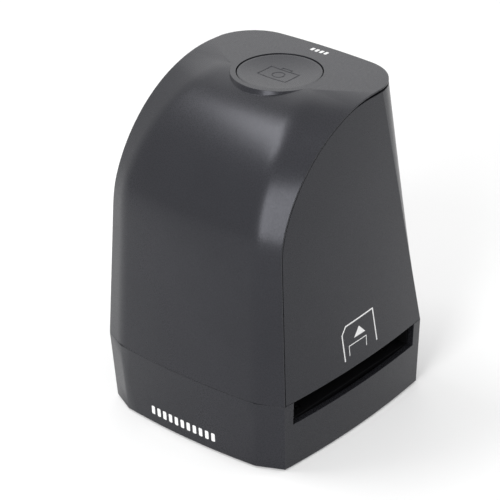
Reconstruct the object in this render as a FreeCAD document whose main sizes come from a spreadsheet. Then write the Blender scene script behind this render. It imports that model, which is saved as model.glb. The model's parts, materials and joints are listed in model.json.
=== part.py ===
import FreeCAD, Part
import math
import os
import re
import Sketcher
from FreeCAD import Placement, Rotation, Vector

# Film negative scanner: a low base with a film slot right through it, a tall body whose
# curved hood runs up the front and over the top, and a large round button on the top.
# The front faces -Y, the slot runs along X, and z = 0 is the surface that it stands on.

# Driving dimensions, in millimetres. Depths named front_y count towards -Y, the others to +Y.
SIZES = {
    # Levels
    "foot_stand": 0.8,
    "base_height": 28.1,
    "body_height": 103.6,
    "seam_gap": 0.2,
    "wall": 2.0,
    "base_wall": 2.4,
    "floor_thick": 2.2,
    # Outline of the underside
    "under_front_x": 31.6,
    "under_front_y": 45.0,
    "under_side_x": 41.9,
    "under_side_front_y": 40.0,
    "under_side_rear_y": 40.9,
    "under_back_x": 31.6,
    "under_back_y": 45.0,
    # Outline of the seam between base and body, the widest level
    "seam_front_x": 33.2,
    "seam_front_y": 46.5,
    "seam_side_x": 43.0,
    "seam_side_front_y": 41.9,
    "seam_side_rear_y": 41.0,
    "seam_back_x": 33.2,
    "seam_back_y": 46.5,
    "front_bulge": 1.75,
    "crown_bulge": 0.05,
    "crown_peak": 2.0,
    "side_bulge": 2.2,
    "back_bulge": 1.65,
    "seam_corner_bulge": 0.25,
    # Outline of the top
    "top_side_front_x": 37.6,
    "top_side_front_y": 40.0,
    "top_side_rear_x": 38.3,
    "top_side_rear_y": 19.9,
    "top_side_bulge": 0.95,
    "top_back_x": 21.9,
    "top_back_y": 35.6,
    "top_back_bulge": 0.8,
    "top_corner_bulge": 3.9,
    # Arch of the hood: two soft creases and the two edges where the hood meets the sides
    "arch_front_y": 44.2,
    "arch_radius": 47.3,
    "crease_x": 31.6,
    "crease_top_x": 19.5,
    "crease_dip": 1.3,
    "crease_round": 3.0,
    "edge_front_y": 42.3,
    "edge_arch_extra": 10.1,
    "edge_kink": 1.25,
    "edge_x": 40.0,
    "edge_top_x": 38.75,
    # Joint line between hood and sides
    "hood_lip": 0.5,
    "hood_gap": 0.35,
    "side_recess": 0.15,
    "edge_gap": 0.5,
    "crown_drop": 0.6,
    "seam_recess": 0.05,
    # Round boss and the hole for the button
    "button_y": 8.4,
    "boss_radius": 18.2,
    "boss_foot_radius": 20.8,
    "flange_room": 1.55,
    "boss_depth": 7.0,
    "button_hole_radius": 16.15,
    # Film slot and the trough in it
    "slot_front_y": 37.0,
    "slot_rear_y": 36.3,
    "slot_rise": 18.5,
    "rail_thick": 1.2,
    "channel_floor": 1.6,
    "fit_gap": 0.2,
    # Case screws, their posts in the base and their bosses in the upper shells
    "case_screw_x": 27.0,
    "post_radius": 2.4,
    "post_foot_radius": 3.3,
    "post_foot_rise": 6.0,
    "screw_radius": 1.0,
    "screw_head_radius": 1.9,
    "screw_head_thick": 1.3,
    "screw_slack": 0.1,
    "slot_cut_width": 0.5,
    "slot_cut_depth": 0.6,
    "case_boss_rise": 11.0,
    "thread_depth": 8.0,
    "rib_thick": 1.6,
    # Film guides and the chassis on them
    "guide_thick": 1.6,
    "frame_thick": 2.0,
    "frame_screw_x": 12.0,
    "channel_screw_x": 36.0,
    "channel_screw_y": 27.0,
    "board_thick": 1.6,
    "standoff_rise": 3.5,
    # Ears in the body shell and posts in the hood near the top
    "ear_x": 28.5,
    "ear_y": 24.0,
    "ear_depth": 13.0,
    "ear_thick": 2.0,
    "carrier_screw_x": 25.0,
    "carrier_depth": 14.5,
    "carrier_thick": 2.0,
    # Mini USB socket
    "usb_wide": 7.7,
    "usb_tall": 3.9,
    "usb_deep": 9.2,
    "usb_gap": 0.4,
    # Feet
    "foot_radius": 4.5,
    "foot_thick": 1.6,
    "foot_edge": 0.4,
    "foot_x": 28.0,
    "foot_y": 30.0,
    # Round button with its stem, return spring and carrier
    "button_gap": 0.45,
    "button_drop": 0.3,
    "button_dish": 1.1,
    "button_rim": 0.8,
    "button_skirt": 1.6,
    "button_height": 5.5,
    "button_cap": 1.6,
    "flange_wide": 1.0,
    "rest_gap": 0.1,
    "stem_radius": 2.0,
    "running_gap": 0.05,
    "icon_wide": 13.4,
    "icon_deep": 8.6,
    "icon_line": 0.4,
    "icon_bump_wide": 4.6,
    "icon_bump_deep": 1.5,
    "icon_lens_radius": 2.5,
    "engrave_depth": 0.12,
    "carrier_deep": 11.0,
    "carrier_disc": 8.0,
    "tube_wall": 1.4,
    "tube_rise": 4.5,
    "spring_radius": 5.0,
    "spring_wire_radius": 0.35,
    "spring_turns": 5.0,
    # Switch under the button
    "switch_drop": 5.5,
    "switch_board_wide": 31.0,
    "switch_board_deep": 12.0,
    "switch_board_thick": 1.2,
    "switch_post_x": 9.0,
    "switch_post_radius": 2.0,
    "switch_wide": 6.0,
    "switch_tall": 3.5,
    "plunger_radius": 1.6,
    "plunger_length": 2.7,
    "plunger_proud": 1.4,
    # Film trough and window
    "window_wide": 38.0,
    "window_deep": 26.0,
    "guide_half_x": 39.5,
    "pin_radius": 1.2,
    "pin_length": 3.6,
    "pin_proud": 0.6,
    "pin_spring_radius": 0.8,
    "pin_spring_wire": 0.15,
    "pin_spring_turns": 5.0,
    "pin_y": 27.0,
    "pin_flange_radius": 1.6,
    "pin_flange_thick": 0.8,
    "pin_housing_radius": 2.7,
    "housing_depth": 5.2,
    "housing_cap": 1.0,
    "channel_pad": 2.0,
    # Light source under the window
    "light_box_wide": 46.0,
    "light_box_deep": 34.0,
    "light_box_wall": 1.6,
    "diffuser_thick": 2.0,
    "led_board_thick": 1.2,
    "led_pitch_x": 13.0,
    "led_pitch_y": 12.0,
    "led_wide": 3.5,
    "led_tall": 1.6,
    "led_dome": 1.3,
    "resistor_long": 2.0,
    "resistor_wide": 1.25,
    "resistor_tall": 0.55,
    # Light tunnel and camera
    "frame_half_x": 33.0,
    "frame_half_y": 36.8,
    "frame_ear_x": 15.0,
    "frame_edge_gap": 0.8,
    "tunnel_wide": 46.0,
    "tunnel_deep": 36.0,
    "tunnel_rise": 33.0,
    "tunnel_wall": 1.6,
    "neck_wide": 31.0,
    "neck_rise": 28.0,
    "deck_wide": 38.0,
    "deck_deep": 37.0,
    "sensor_wide": 11.0,
    "sensor_deep": 9.0,
    "sensor_tall": 1.2,
    "holder_wide": 15.0,
    "holder_tall": 7.0,
    "holder_neck_radius": 7.2,
    "holder_neck_tall": 7.0,
    "barrel_radius": 6.0,
    "barrel_bore": 4.9,
    "barrel_length": 15.0,
    "barrel_below": 6.0,
    "barrel_ring": 0.7,
    "lens_half_thick": 1.4,
    "lens_inset": 0.9,
    "filter_wide": 9.6,
    "filter_thick": 0.7,
    # Main board
    "main_half_x": 17.0,
    "main_front_y": 20.5,
    "main_rear_y": 44.0,
    "standoff_x": 14.0,
    "standoff_front_y": 23.6,
    "standoff_rear_y": 35.5,
    "chip_thick": 1.3,
    "controller_wide": 10.0,
    "controller_x": 5.5,
    "controller_y": 30.5,
    "leg_reach": 1.2,
    "memory_wide": 8.0,
    "memory_deep": 5.5,
    "memory_x": 6.5,
    "memory_y": 28.2,
    "crystal_long": 9.5,
    "crystal_wide": 3.8,
    "crystal_tall": 3.2,
    "crystal_y": 33.5,
    "capacitor_radius": 2.4,
    "capacitor_tall": 5.4,
    "capacitor_lip": 0.3,
    "capacitor_x": 9.5,
    "capacitor_y": 40.6,
    "usb_wall": 0.35,
    "usb_inset": 0.3,
    "tongue_wide": 5.0,
    "tongue_deep": 6.5,
    "tongue_thick": 0.9,
    # Connectors, ribbon and leads
    "header_wide": 14.0,
    "header_deep": 3.4,
    "header_tall": 2.4,
    "main_header_y": 22.6,
    "sensor_header_y": 13.0,
    "ribbon_wide": 12.0,
    "ribbon_thick": 0.3,
    "ribbon_rise": 3.4,
    "ribbon_bend": 1.6,
    "plug_wide": 4.2,
    "plug_deep": 3.2,
    "plug_tall": 3.0,
    "lead_radius": 0.9,
    "lead_bend": 1.8,
    "plug_gap": 0.5,
    "lead_y": 41.0,
    "lead_top": 5.5,
    "main_plug_x": 14.0,
    "led_plug_y": 9.0,
    "switch_plug_x": 12.8,
    "sensor_plug_y": 2.8,
    # Cutting tools run past the faces by this much
    "overrun": 12.0,
}

# Stations along the arch, as shares of the right angle from its foot to its crown
ARCH_SHARES = (0, 0.11, 0.22, 0.33, 0.44, 0.56, 0.67, 0.78, 0.89, 1)
CROWN_SHARES = (1, 1.04, 1.09, 1.145)
# Ends of the straight stretch below the arch, as shares of its height
STRAIGHT_SHARES = (-0.1, 0.85)
# Stations that only steady the curve's run into and out of the arch, before they are cut off
RUN_IN_SHARES = (0.4, 0.55, 0.7, 0.85)
RUN_OUT_SHARES = (1.11, 1.22)
# How the crease draws in over the arch, and how fast the kink in the edge dies out
CREASE_POWER_SHARE = 1.6
KINK_SHARE = 0.1
# Inner side of the arch's front part, and outer side of the plain core that fills it, as
# shares of the arch's radius
HEART_SHARE = 0.62
CORE_SHARE = 0.76

# Flats round the section of a spring's wire
WIRE_FLATS = 12

doc = FreeCAD.newDocument("FilmScanner")
sheet = doc.addObject("Spreadsheet::Sheet", "Sizes")
for row, (alias, number) in enumerate(SIZES.items(), start=1):
    sheet.set(f"A{row}", alias)
    sheet.set(f"B{row}", str(number))
    sheet.setAlias(f"B{row}", alias)
doc.recompute()

SUBPARTS = []


def cells(text):
    """The expression with each size's name turned into its cell."""
    return re.sub(r"\b([a-z]\w*)\b", r"Sizes.\1", text)


def mm(text):
    """The value of an expression in the sizes' names."""
    return float(sheet.evalExpression(cells(text)))


def bind(thing, **properties):
    """Ties properties to expressions; a double underscore stands for a dot."""
    for name, text in properties.items():
        path = name.replace("__", ".")
        thing.setExpression(path, cells(text))


def place(thing, x, y, z):
    bind(thing, Placement__Base__x=x, Placement__Base__y=y, Placement__Base__z=z)


def subpart(thing, label):
    """Names an object as one of the pieces that are written out."""
    thing.Label = label
    SUBPARTS.append(thing)
    return thing


def box(name, x, y, z):
    """A block between two limits on each axis."""
    block = doc.addObject("Part::Box", name)
    place(block, x[0], y[0], z[0])
    bind(
        block,
        Length=f"({x[1]}) - ({x[0]})",
        Width=f"({y[1]}) - ({y[0]})",
        Height=f"({z[1]}) - ({z[0]})",
    )
    return block


def centred_box(name, x, y, z, wide, deep):
    """A block about a point, wide along X and deep along Y, between two levels."""
    return box(
        name,
        (f"{x} - ({wide}) / 2", f"{x} + ({wide}) / 2"),
        (f"{y} - ({deep}) / 2", f"{y} + ({deep}) / 2"),
        z,
    )


def rod(name, x, y, z, radius):
    """An upright cylinder between two levels."""
    cylinder = doc.addObject("Part::Cylinder", name)
    place(cylinder, x, y, z[0])
    bind(cylinder, Radius=radius, Height=f"({z[1]}) - ({z[0]})")
    return cylinder


def join(name, *pieces):
    fusion = doc.addObject("Part::MultiFuse", name)
    fusion.Shapes = list(pieces)
    return fusion


def cut(name, base, *tools):
    result = doc.addObject("Part::Cut", name)
    result.Base = base
    result.Tool = tools[0] if len(tools) == 1 else join(name + "_tools", *tools)
    return result


def group(name, *pieces):
    compound = doc.addObject("Part::Compound", name)
    compound.Links = list(pieces)
    return compound


def shaped(name, shape):
    """A piece whose freeform shape is worked out from the sizes."""
    feature = doc.addObject("Part::Feature", name)
    feature.Shape = shape
    return feature


# Levels that many pieces share
FLOOR_TOP = "foot_stand + floor_thick"
SEAM = "foot_stand + base_height"
SHELL_FOOT = f"{SEAM} + seam_gap"
TOP = f"{SEAM} + body_height"
SLOT_FLOOR = "foot_stand + slot_rise"
CASE_FRONT_Y = "-(slot_front_y + rail_thick + fit_gap + post_radius)"
CASE_REAR_Y = "slot_rear_y + rail_thick + fit_gap + post_radius"
HEAD_SEAT = "foot_stand + post_foot_rise"

CASE_BOSS_TOP = f"{SHELL_FOOT} + case_boss_rise"
CHANNEL_LOW = f"{SLOT_FLOOR} - channel_floor"
PAD_LOW = f"{CHANNEL_LOW} - channel_pad"
FRAME_LOW = f"{SHELL_FOOT} + guide_thick + fit_gap / 2"
FRAME_TOP = f"{FRAME_LOW} + frame_thick"
BOARD_LOW = f"{FRAME_TOP} + standoff_rise"
USB_LOW = f"{BOARD_LOW} + board_thick"
EAR_LOW = f"{TOP} - ear_depth"
EAR_TOP = f"{EAR_LOW} + ear_thick"
CARRIER_LOW = f"{TOP} - carrier_depth"
CARRIER_TOP = f"{CARRIER_LOW} + carrier_thick"
FOOT_TOP = "foot_thick"

# Posts that hang from the hood's top: place across, place along and lower end
HOOD_POSTS = (
    ("ear_x", "ear_y", EAR_TOP),
    ("-ear_x", "ear_y", EAR_TOP),
    ("carrier_screw_x", "button_y", CARRIER_TOP),
    ("-carrier_screw_x", "button_y", CARRIER_TOP),
)
CHANNEL_POINTS = (
    ("channel_screw_x", "channel_screw_y"),
    ("channel_screw_x", "-channel_screw_y"),
    ("-channel_screw_x", "channel_screw_y"),
    ("-channel_screw_x", "-channel_screw_y"),
)
FOOT_POINTS = (
    ("foot_x", "foot_y"),
    ("foot_x", "-foot_y"),
    ("-foot_x", "foot_y"),
    ("-foot_x", "-foot_y"),
)

# Centres of the hood's arch and of its edge, both behind the front by their own radius
ARCH_Y = "(arch_radius - arch_front_y)"
EDGE_ARCH_RADIUS = "(arch_radius + edge_arch_extra)"
EDGE_ARCH_Y = f"({EDGE_ARCH_RADIUS} - edge_front_y)"

# Freeform casing


def inset_points(points, inset):
    """A closed polygon, counter-clockwise, with each side moved inwards."""
    moved = []
    for before, here, after in zip(points[-1:] + points[:-1], points, points[1:] + points[:1]):
        first = (here - before).normalize()
        second = (after - here).normalize()
        first_in = Vector(-first.y, first.x, 0)
        turn = first.x * second.y - first.y * second.x
        along = (1 - first.dot(second)) / turn if abs(turn) > 1e-9 else 0
        moved.append(here + (first_in + first * -along) * inset)
    return moved


def bowed(start, end, bulge):
    """An edge from start to end, bowed to its right side by the bulge."""
    chord = end - start
    middle = (start + end) * 0.5 + Vector(chord.y, -chord.x, 0).normalize() * bulge
    return Part.Arc(start, middle, end).toShape()


def outline(points, bulges, level):
    """A closed wire of bowed and straight sides at a level."""
    raised = [Vector(p.x, p.y, level) for p in points]
    edges = []
    for start, end, bulge in zip(raised, raised[1:] + raised[:1], bulges):
        if bulge:
            edges.append(bowed(start, end, bulge))
        else:
            edges.append(Part.LineSegment(start, end).toShape())
    return Part.Wire(edges)


def mirrored_polygon(right_side):
    """Points of the right half from front to back, then their mirror images back again."""
    left_side = [Vector(-p.x, p.y, 0) for p in reversed(right_side)]
    return right_side + left_side


def base_outline(level, inset, under):
    """The base's outline at its underside or at the seam, moved inwards by an inset."""
    kind = "under" if under else "seam"
    right = [
        Vector(mm(f"{kind}_front_x"), -mm(f"{kind}_front_y"), 0),
        Vector(mm(f"{kind}_side_x"), -mm(f"{kind}_side_front_y"), 0),
        Vector(mm(f"{kind}_side_x"), mm(f"{kind}_side_rear_y"), 0),
        Vector(mm(f"{kind}_back_x"), mm(f"{kind}_back_y"), 0),
    ]
    corner = mm("seam_corner_bulge")
    side = mm("side_bulge")
    bulges = (0, side, corner, mm("back_bulge"), corner, side, 0, mm("front_bulge"))
    return outline(inset_points(mirrored_polygon(right), inset), bulges, level)


def base_solid(inset, low, high):
    """The base between two levels, its sides sloping from underside to seam."""
    wires = [base_outline(low, inset, True), base_outline(high, inset, False)]
    return Part.makeLoft(wires, True, True)


def forward_point(front, rear, bulge, forward):
    """The point at depth -forward on the arc that passes front and rear with the bulge."""
    half = (rear - front) * 0.5
    radius = (half.Length ** 2 + bulge ** 2) / (2 * bulge)
    across = Vector(half.y, -half.x, 0).normalize()
    centre = (front + rear) * 0.5 - across * (radius - bulge)
    return Vector(centre.x + math.sqrt(radius ** 2 - (forward + centre.y) ** 2), -forward, 0)


def side_outline(level, inset, at_top):
    """Sides, rear corners and back at a level; the front runs on well past the hood."""
    kind = "top" if at_top else "seam"
    side_bulge = mm("top_side_bulge") if at_top else mm("side_bulge")
    corner_bulge = mm("top_corner_bulge") if at_top else mm("seam_corner_bulge")
    back_bulge = mm("top_back_bulge") if at_top else mm("back_bulge")
    if at_top:
        front = Vector(mm("top_side_front_x"), -mm("top_side_front_y"), 0)
        rear = Vector(mm("top_side_rear_x"), mm("top_side_rear_y"), 0)
    else:
        front = Vector(mm("seam_side_x"), -mm("seam_side_front_y"), 0)
        rear = Vector(mm("seam_side_x"), mm("seam_side_rear_y"), 0)
    corner = Vector(mm(f"{kind}_back_x"), mm(f"{kind}_back_y"), 0)
    forward = mm("seam_front_y + overrun")
    ahead = forward_point(front, rear, side_bulge, forward)
    long_bulge = side_bulge * ((rear - ahead).Length / (rear - front).Length) ** 2
    points = inset_points(mirrored_polygon([ahead, rear, corner]), inset)
    bulges = (long_bulge, corner_bulge, back_bulge, corner_bulge, long_bulge, 0)
    return outline(points, bulges, level)


def side_solid(seam_inset, top_inset):
    """The body's sides and back from the shells' foot to the top."""
    wires = [
        side_outline(mm(SHELL_FOOT), seam_inset, False),
        side_outline(mm(TOP), top_inset, True),
    ]
    return Part.makeLoft(wires, True, True)


PIVOT_Z = mm(f"{TOP} - arch_radius")


def fan(share):
    """Unit direction of an arch station, forwards at share 0 and upwards at share 1."""
    angle = share * math.pi / 2
    return Vector(0, -math.cos(angle), math.sin(angle))


def top_reach(share):
    """Distance from the pivot to the flat top past the crown."""
    return mm("arch_radius") / math.sin(share * math.pi / 2)


def edge_reach(share):
    """Distance from the pivot to the hood's edge, which is an arc about its own centre."""
    radius = mm(EDGE_ARCH_RADIUS)
    ray = fan(share)
    offset = Vector(0, mm(f"{ARCH_Y} - {EDGE_ARCH_Y}"), radius - mm("arch_radius"))
    along = offset.dot(ray)
    reach = -along + math.sqrt(along ** 2 + radius ** 2 - offset.Length ** 2)
    return reach - mm("edge_kink") * math.exp(-share / KINK_SHARE)


def arch_section(origin, ray, crease, edge, bulge, inset):
    """A closed wire across the arch: crease, bowed front, crease, bevel and inner side."""
    far = edge + (edge - crease).normalize() * mm("overrun")
    heart = Vector(far.x, mm("arch_radius") * HEART_SHARE, 0)
    left = [Vector(-p.x, p.y, 0) for p in (crease, far, heart)]
    ring = inset_points(left + [heart, far, crease], inset)
    far, crease = ring[4], ring[5]
    round_off = mm("crease_round")
    bow_radius = (crease.x ** 2 + bulge ** 2) / (2 * bulge)
    bow_centre = crease.y + bulge - bow_radius
    near_x = crease.x - round_off
    near = Vector(near_x, bow_centre + math.sqrt(bow_radius ** 2 - near_x ** 2), 0)
    away = crease + (far - crease).normalize() * round_off
    inwards = (near - crease).normalize() + (away - crease).normalize()
    half_turn = (math.pi - (near - crease).getAngle(away - crease)) / 2
    middle = crease + inwards.normalize() * round_off * math.tan(half_turn / 2)
    crown = Vector(0, crease.y + bulge, 0)

    def lift(point, sign=1):
        return origin + Vector(sign * point.x, 0, 0) + ray * point.y

    return Part.Wire([
        Part.Arc(lift(away), lift(middle), lift(near)).toShape(),
        Part.Arc(lift(near), lift(crown), lift(near, -1)).toShape(),
        Part.Arc(lift(near, -1), lift(middle, -1), lift(away, -1)).toShape(),
        Part.LineSegment(lift(away, -1), lift(far, -1)).toShape(),
        Part.LineSegment(lift(far, -1), lift(heart, -1)).toShape(),
        Part.LineSegment(lift(heart, -1), lift(heart)).toShape(),
        Part.LineSegment(lift(heart), lift(far)).toShape(),
        Part.LineSegment(lift(far), lift(away)).toShape(),
    ])


def crown_section(origin, ray, crease, edge, peak, inset):
    """The same across the crown, where the flat top takes over between the creases."""
    far = edge + (edge - crease).normalize() * mm("overrun")
    heart = Vector(far.x, mm("arch_radius") * HEART_SHARE, 0)
    left = [Vector(-p.x, p.y, 0) for p in (crease, far, heart)]
    ring = inset_points(left + [heart, far, crease], inset)
    far, crease = ring[4], ring[5]
    right = [crease, far, heart]
    mirrored = [Vector(-p.x, p.y, 0) for p in reversed(right)]
    ring = [Vector(0, crease.y + peak, 0)] + right + mirrored
    lifted = [origin + Vector(p.x, 0, 0) + ray * p.y for p in ring]
    return Part.makePolygon(lifted + lifted[:1])


def arch_solid(inset):
    """Everything behind the hood's outer surface, moved inwards by an inset."""
    pivot = Vector(0, mm(ARCH_Y), PIVOT_Z)
    foot = mm(SHELL_FOOT)
    straight = PIVOT_Z - foot
    level_ray = fan(0)
    low_crease = Vector(mm("seam_front_x"), mm(f"seam_front_y + {ARCH_Y}"), 0)
    high_crease = Vector(mm("crease_x"), mm("arch_radius"), 0)
    low_edge = Vector(mm("seam_side_x"), mm(f"seam_side_front_y + {ARCH_Y}"), 0)
    high_edge = Vector(mm("edge_x"), edge_reach(0), 0)

    def straight_section(share):
        origin = Vector(0, pivot.y, foot + straight * share)
        crease = low_crease + (high_crease - low_crease) * share
        edge = low_edge + (high_edge - low_edge) * share
        bulge = mm("front_bulge + crown_bulge")
        return arch_section(origin, level_ray, crease, edge, bulge, inset)

    def bent_section(share):
        draw_in = mm("crease_x - crease_top_x") * share ** CREASE_POWER_SHARE
        dip = mm("crease_dip") * math.sin(math.pi * min(share, 1)) ** 2
        crease = Vector(mm("crease_x") - draw_in, mm("arch_radius") - dip, 0)
        edge = Vector(mm("edge_x") - mm("edge_x - edge_top_x") * share, edge_reach(share), 0)
        bulge = max(mm("front_bulge") * (1 - share), 0) + mm("crown_bulge")
        return arch_section(pivot, fan(share), crease, edge, bulge, inset)

    upright = Part.makeLoft([straight_section(share) for share in STRAIGHT_SHARES], True, True)
    sections = [straight_section(share) for share in RUN_IN_SHARES]
    sections += [bent_section(share) for share in ARCH_SHARES + RUN_OUT_SHARES]
    reach = mm("seam_back_y + overrun")
    wide = mm("seam_side_x + overrun")
    kept_low = foot + straight * STRAIGHT_SHARES[1]
    kept = Part.makeBox(wide * 2, reach + pivot.y, reach * 2, Vector(-wide, -reach, kept_low))
    front = Part.makeLoft(sections, True, False).common(kept)
    crowns = []
    slant = mm("edge_top_x - crease_top_x") / mm(f"{EDGE_ARCH_Y} - {ARCH_Y}")
    for share in CROWN_SHARES:
        behind = -top_reach(share) * math.cos(share * math.pi / 2)
        crease = Vector(mm("crease_top_x") + slant * behind, top_reach(share), 0)
        edge_share = min(share, 1)
        edge_x = mm("edge_x") - mm("edge_x - edge_top_x") * edge_share
        edge = Vector(edge_x, edge_reach(share), 0)
        crowns.append(crown_section(pivot, fan(share), crease, edge, mm("crown_peak"), inset))
    crown = Part.makeLoft(crowns, True, True)
    core = mm("arch_radius") * CORE_SHARE
    last = fan(CROWN_SHARES[-1])
    low = foot + straight * STRAIGHT_SHARES[0]
    middle = fan(CROWN_SHARES[-1] / 2)
    round_core = Part.Arc(pivot + last * core, pivot + middle * core, pivot + level_ray * core)
    profile = [
        pivot + level_ray * core,
        Vector(0, pivot.y - core, low),
        Vector(0, reach, low),
        Vector(0, reach, mm(f"{TOP} + overrun")),
        pivot + last * (mm("arch_radius + overrun") / last.z),
        pivot + last * core,
    ]
    face = Part.Face(Part.Wire([round_core.toShape()] + Part.makePolygon(profile).Edges))
    face.translate(Vector(-wide, 0, 0))
    back = face.extrude(Vector(2 * wide, 0, 0))
    return front.fuse([upright, crown, back]).removeSplitter()


def crown_part(share):
    """How far a share of the turn is on its way over the crown."""
    return (share - CROWN_SHARES[0]) / (CROWN_SHARES[-1] - CROWN_SHARES[0])


def side_profile(inset, drop=0):
    """The region behind the hood's edge, seen from the side, moved inwards and dropped at the top."""
    pivot = Vector(0, mm(ARCH_Y), PIVOT_Z)
    foot = mm(SHELL_FOOT)
    low = Vector(0, -mm("seam_side_front_y") + inset, foot)
    arch = [pivot + fan(share) * (edge_reach(share) - inset) for share in ARCH_SHARES]
    knee = arch[0]
    below = low + (low - knee) * -STRAIGHT_SHARES[0]
    curve = Part.BSplineCurve()
    rest = [
        pivot + fan(share) * (edge_reach(share) - inset - drop * crown_part(share))
        for share in CROWN_SHARES[1:-1]
    ]
    crown = Vector(0, mm(EDGE_ARCH_Y), mm(TOP) - inset - drop)
    curve.interpolate(arch + rest + [crown])
    reach = mm("seam_back_y + overrun")
    wide = mm("seam_side_x + overrun")
    tail = Part.makePolygon([crown, Vector(0, reach, crown.z), Vector(0, reach, below.z), below, knee])
    face = Part.Face(Part.Wire(curve.toShape().Edges + tail.Edges))
    face.translate(Vector(-wide, 0, 0))
    return face.extrude(Vector(2 * wide, 0, 0))


def capped(solid, level):
    """A solid with everything above a level taken off."""
    wide = mm("seam_side_x + overrun") * 2
    lid = Part.makeBox(wide * 2, wide * 2, mm("body_height"), Vector(-wide, -wide, level))
    return solid.cut(lid)


def shell_foot_box(x, y, z):
    """A plain block for the shells' own ribs, bosses and openings, from expressions."""
    corner = Vector(mm(x[0]), mm(y[0]), mm(z[0]))
    return Part.makeBox(mm(x[1]) - corner.x, mm(y[1]) - corner.y, mm(z[1]) - corner.z, corner)


def shell_rod(x, y, z, radius):
    """A plain upright cylinder for the same use."""
    corner = Vector(mm(x), mm(y), mm(z[0]))
    return Part.makeCylinder(mm(radius), mm(z[1]) - corner.z, corner)



# Outer and inner forms of the upper casing
outer_arch = arch_solid(0)
inner_arch = arch_solid(mm("wall"))
outer_form = side_solid(0, 0).common(outer_arch)
inner_form = capped(side_solid(mm("wall"), mm("wall")), mm(f"{TOP} - wall")).common(inner_arch)
boss = Part.makeCone(
    mm("boss_foot_radius"),
    mm("boss_radius"),
    mm("boss_depth"),
    Vector(0, mm("button_y"), mm(f"{TOP} - boss_depth")),
)
boss_inside = shell_rod(
    "0", "button_y", (f"{TOP} - boss_depth", f"{TOP} - wall"), "button_hole_radius + flange_room"
)
button_hole = shell_rod(
    "0", "button_y", (f"{TOP} - boss_depth", f"{TOP} + overrun"), "button_hole_radius"
)

# Front hood: front, bevels and top in one piece, with a lip over the sides
side_core = side_solid(mm("wall + hood_gap"), mm("wall + hood_gap"))
side_zone = side_profile(mm("hood_lip")).cut(side_core)
hood_bosses = [
    shell_rod(sign + "case_screw_x", CASE_FRONT_Y, (SHELL_FOOT, CASE_BOSS_TOP), "post_radius")
    for sign in ("", "-")
]
hood_ribs = [
    shell_foot_box(
        (f"{sign}case_screw_x - rib_thick / 2", f"{sign}case_screw_x + rib_thick / 2"),
        ("-seam_front_y + wall / 2", CASE_FRONT_Y),
        (SHELL_FOOT, CASE_BOSS_TOP),
    )
    for sign in ("", "-")
]
hood_pilots = [
    shell_rod(
        sign + "case_screw_x",
        CASE_FRONT_Y,
        (SHELL_FOOT, f"{SHELL_FOOT} + thread_depth"),
        "screw_radius + screw_slack / 2",
    )
    for sign in ("", "-")
]
top_posts = [
    shell_rod(x, y, (low, f"{TOP} - wall / 2"), "post_radius") for x, y, low in HOOD_POSTS
]
top_pilots = [
    shell_rod(x, y, (low, f"{low} + thread_depth"), "screw_radius + screw_slack / 2")
    for x, y, low in HOOD_POSTS
]
hood = outer_form.fuse(boss).cut(inner_form.fuse(boss_inside)).cut(side_zone)
hood = hood.fuse([part.common(outer_form) for part in hood_bosses + hood_ribs + top_posts])
hood = hood.cut([button_hole] + hood_pilots + top_pilots).removeSplitter()
front_hood = subpart(shaped("Hood", hood), "front_hood")

# Body shell: both sides and the back, tucked a little under the hood's lip
recessed = side_solid(mm("seam_recess"), mm("side_recess"))
body_zone = side_profile(mm("hood_lip + edge_gap"), mm("crown_drop"))
body_core = side_solid(mm("wall"), mm("wall"))
rear_bosses = [
    shell_rod(sign + "case_screw_x", CASE_REAR_Y, (SHELL_FOOT, CASE_BOSS_TOP), "post_radius")
    for sign in ("", "-")
]
rear_ribs = [
    shell_foot_box(
        (f"{sign}case_screw_x - rib_thick / 2", f"{sign}case_screw_x + rib_thick / 2"),
        (CASE_REAR_Y, "seam_back_y - wall / 2"),
        (SHELL_FOOT, CASE_BOSS_TOP),
    )
    for sign in ("", "-")
]
rear_pilots = [
    shell_rod(
        sign + "case_screw_x",
        CASE_REAR_Y,
        (SHELL_FOOT, f"{SHELL_FOOT} + thread_depth"),
        "screw_radius + screw_slack / 2",
    )
    for sign in ("", "-")
]
ears = [
    shell_foot_box(
        ("ear_x - post_radius", "top_side_rear_x - wall / 4"),
        ("ear_y - post_radius", "ear_y + post_radius"),
        (EAR_LOW, f"{EAR_LOW} + ear_thick"),
    ),
    shell_foot_box(
        ("-(top_side_rear_x - wall / 4)", "-(ear_x - post_radius)"),
        ("ear_y - post_radius", "ear_y + post_radius"),
        (EAR_LOW, f"{EAR_LOW} + ear_thick"),
    ),
]
ear_holes = [
    shell_rod(
        sign + "ear_x",
        "ear_y",
        (f"{EAR_LOW} - overrun", f"{EAR_LOW} + ear_thick + hood_gap"),
        "screw_radius + screw_slack",
    )
    for sign in ("", "-")
]
usb_mouth = shell_foot_box(
    ("-(usb_wide / 2 + usb_gap)", "usb_wide / 2 + usb_gap"),
    ("top_back_y", "seam_back_y + overrun"),
    (f"{USB_LOW} - usb_gap", f"{USB_LOW} + usb_tall + usb_gap"),
)
shell = recessed.common(body_zone).cut(body_core)
shell = shell.fuse([part.common(recessed) for part in rear_bosses + rear_ribs + ears])
shell = shell.cut(rear_pilots + ear_holes + [usb_mouth]).removeSplitter()
body_shell = subpart(shaped("Body", shell), "body_shell")

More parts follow.
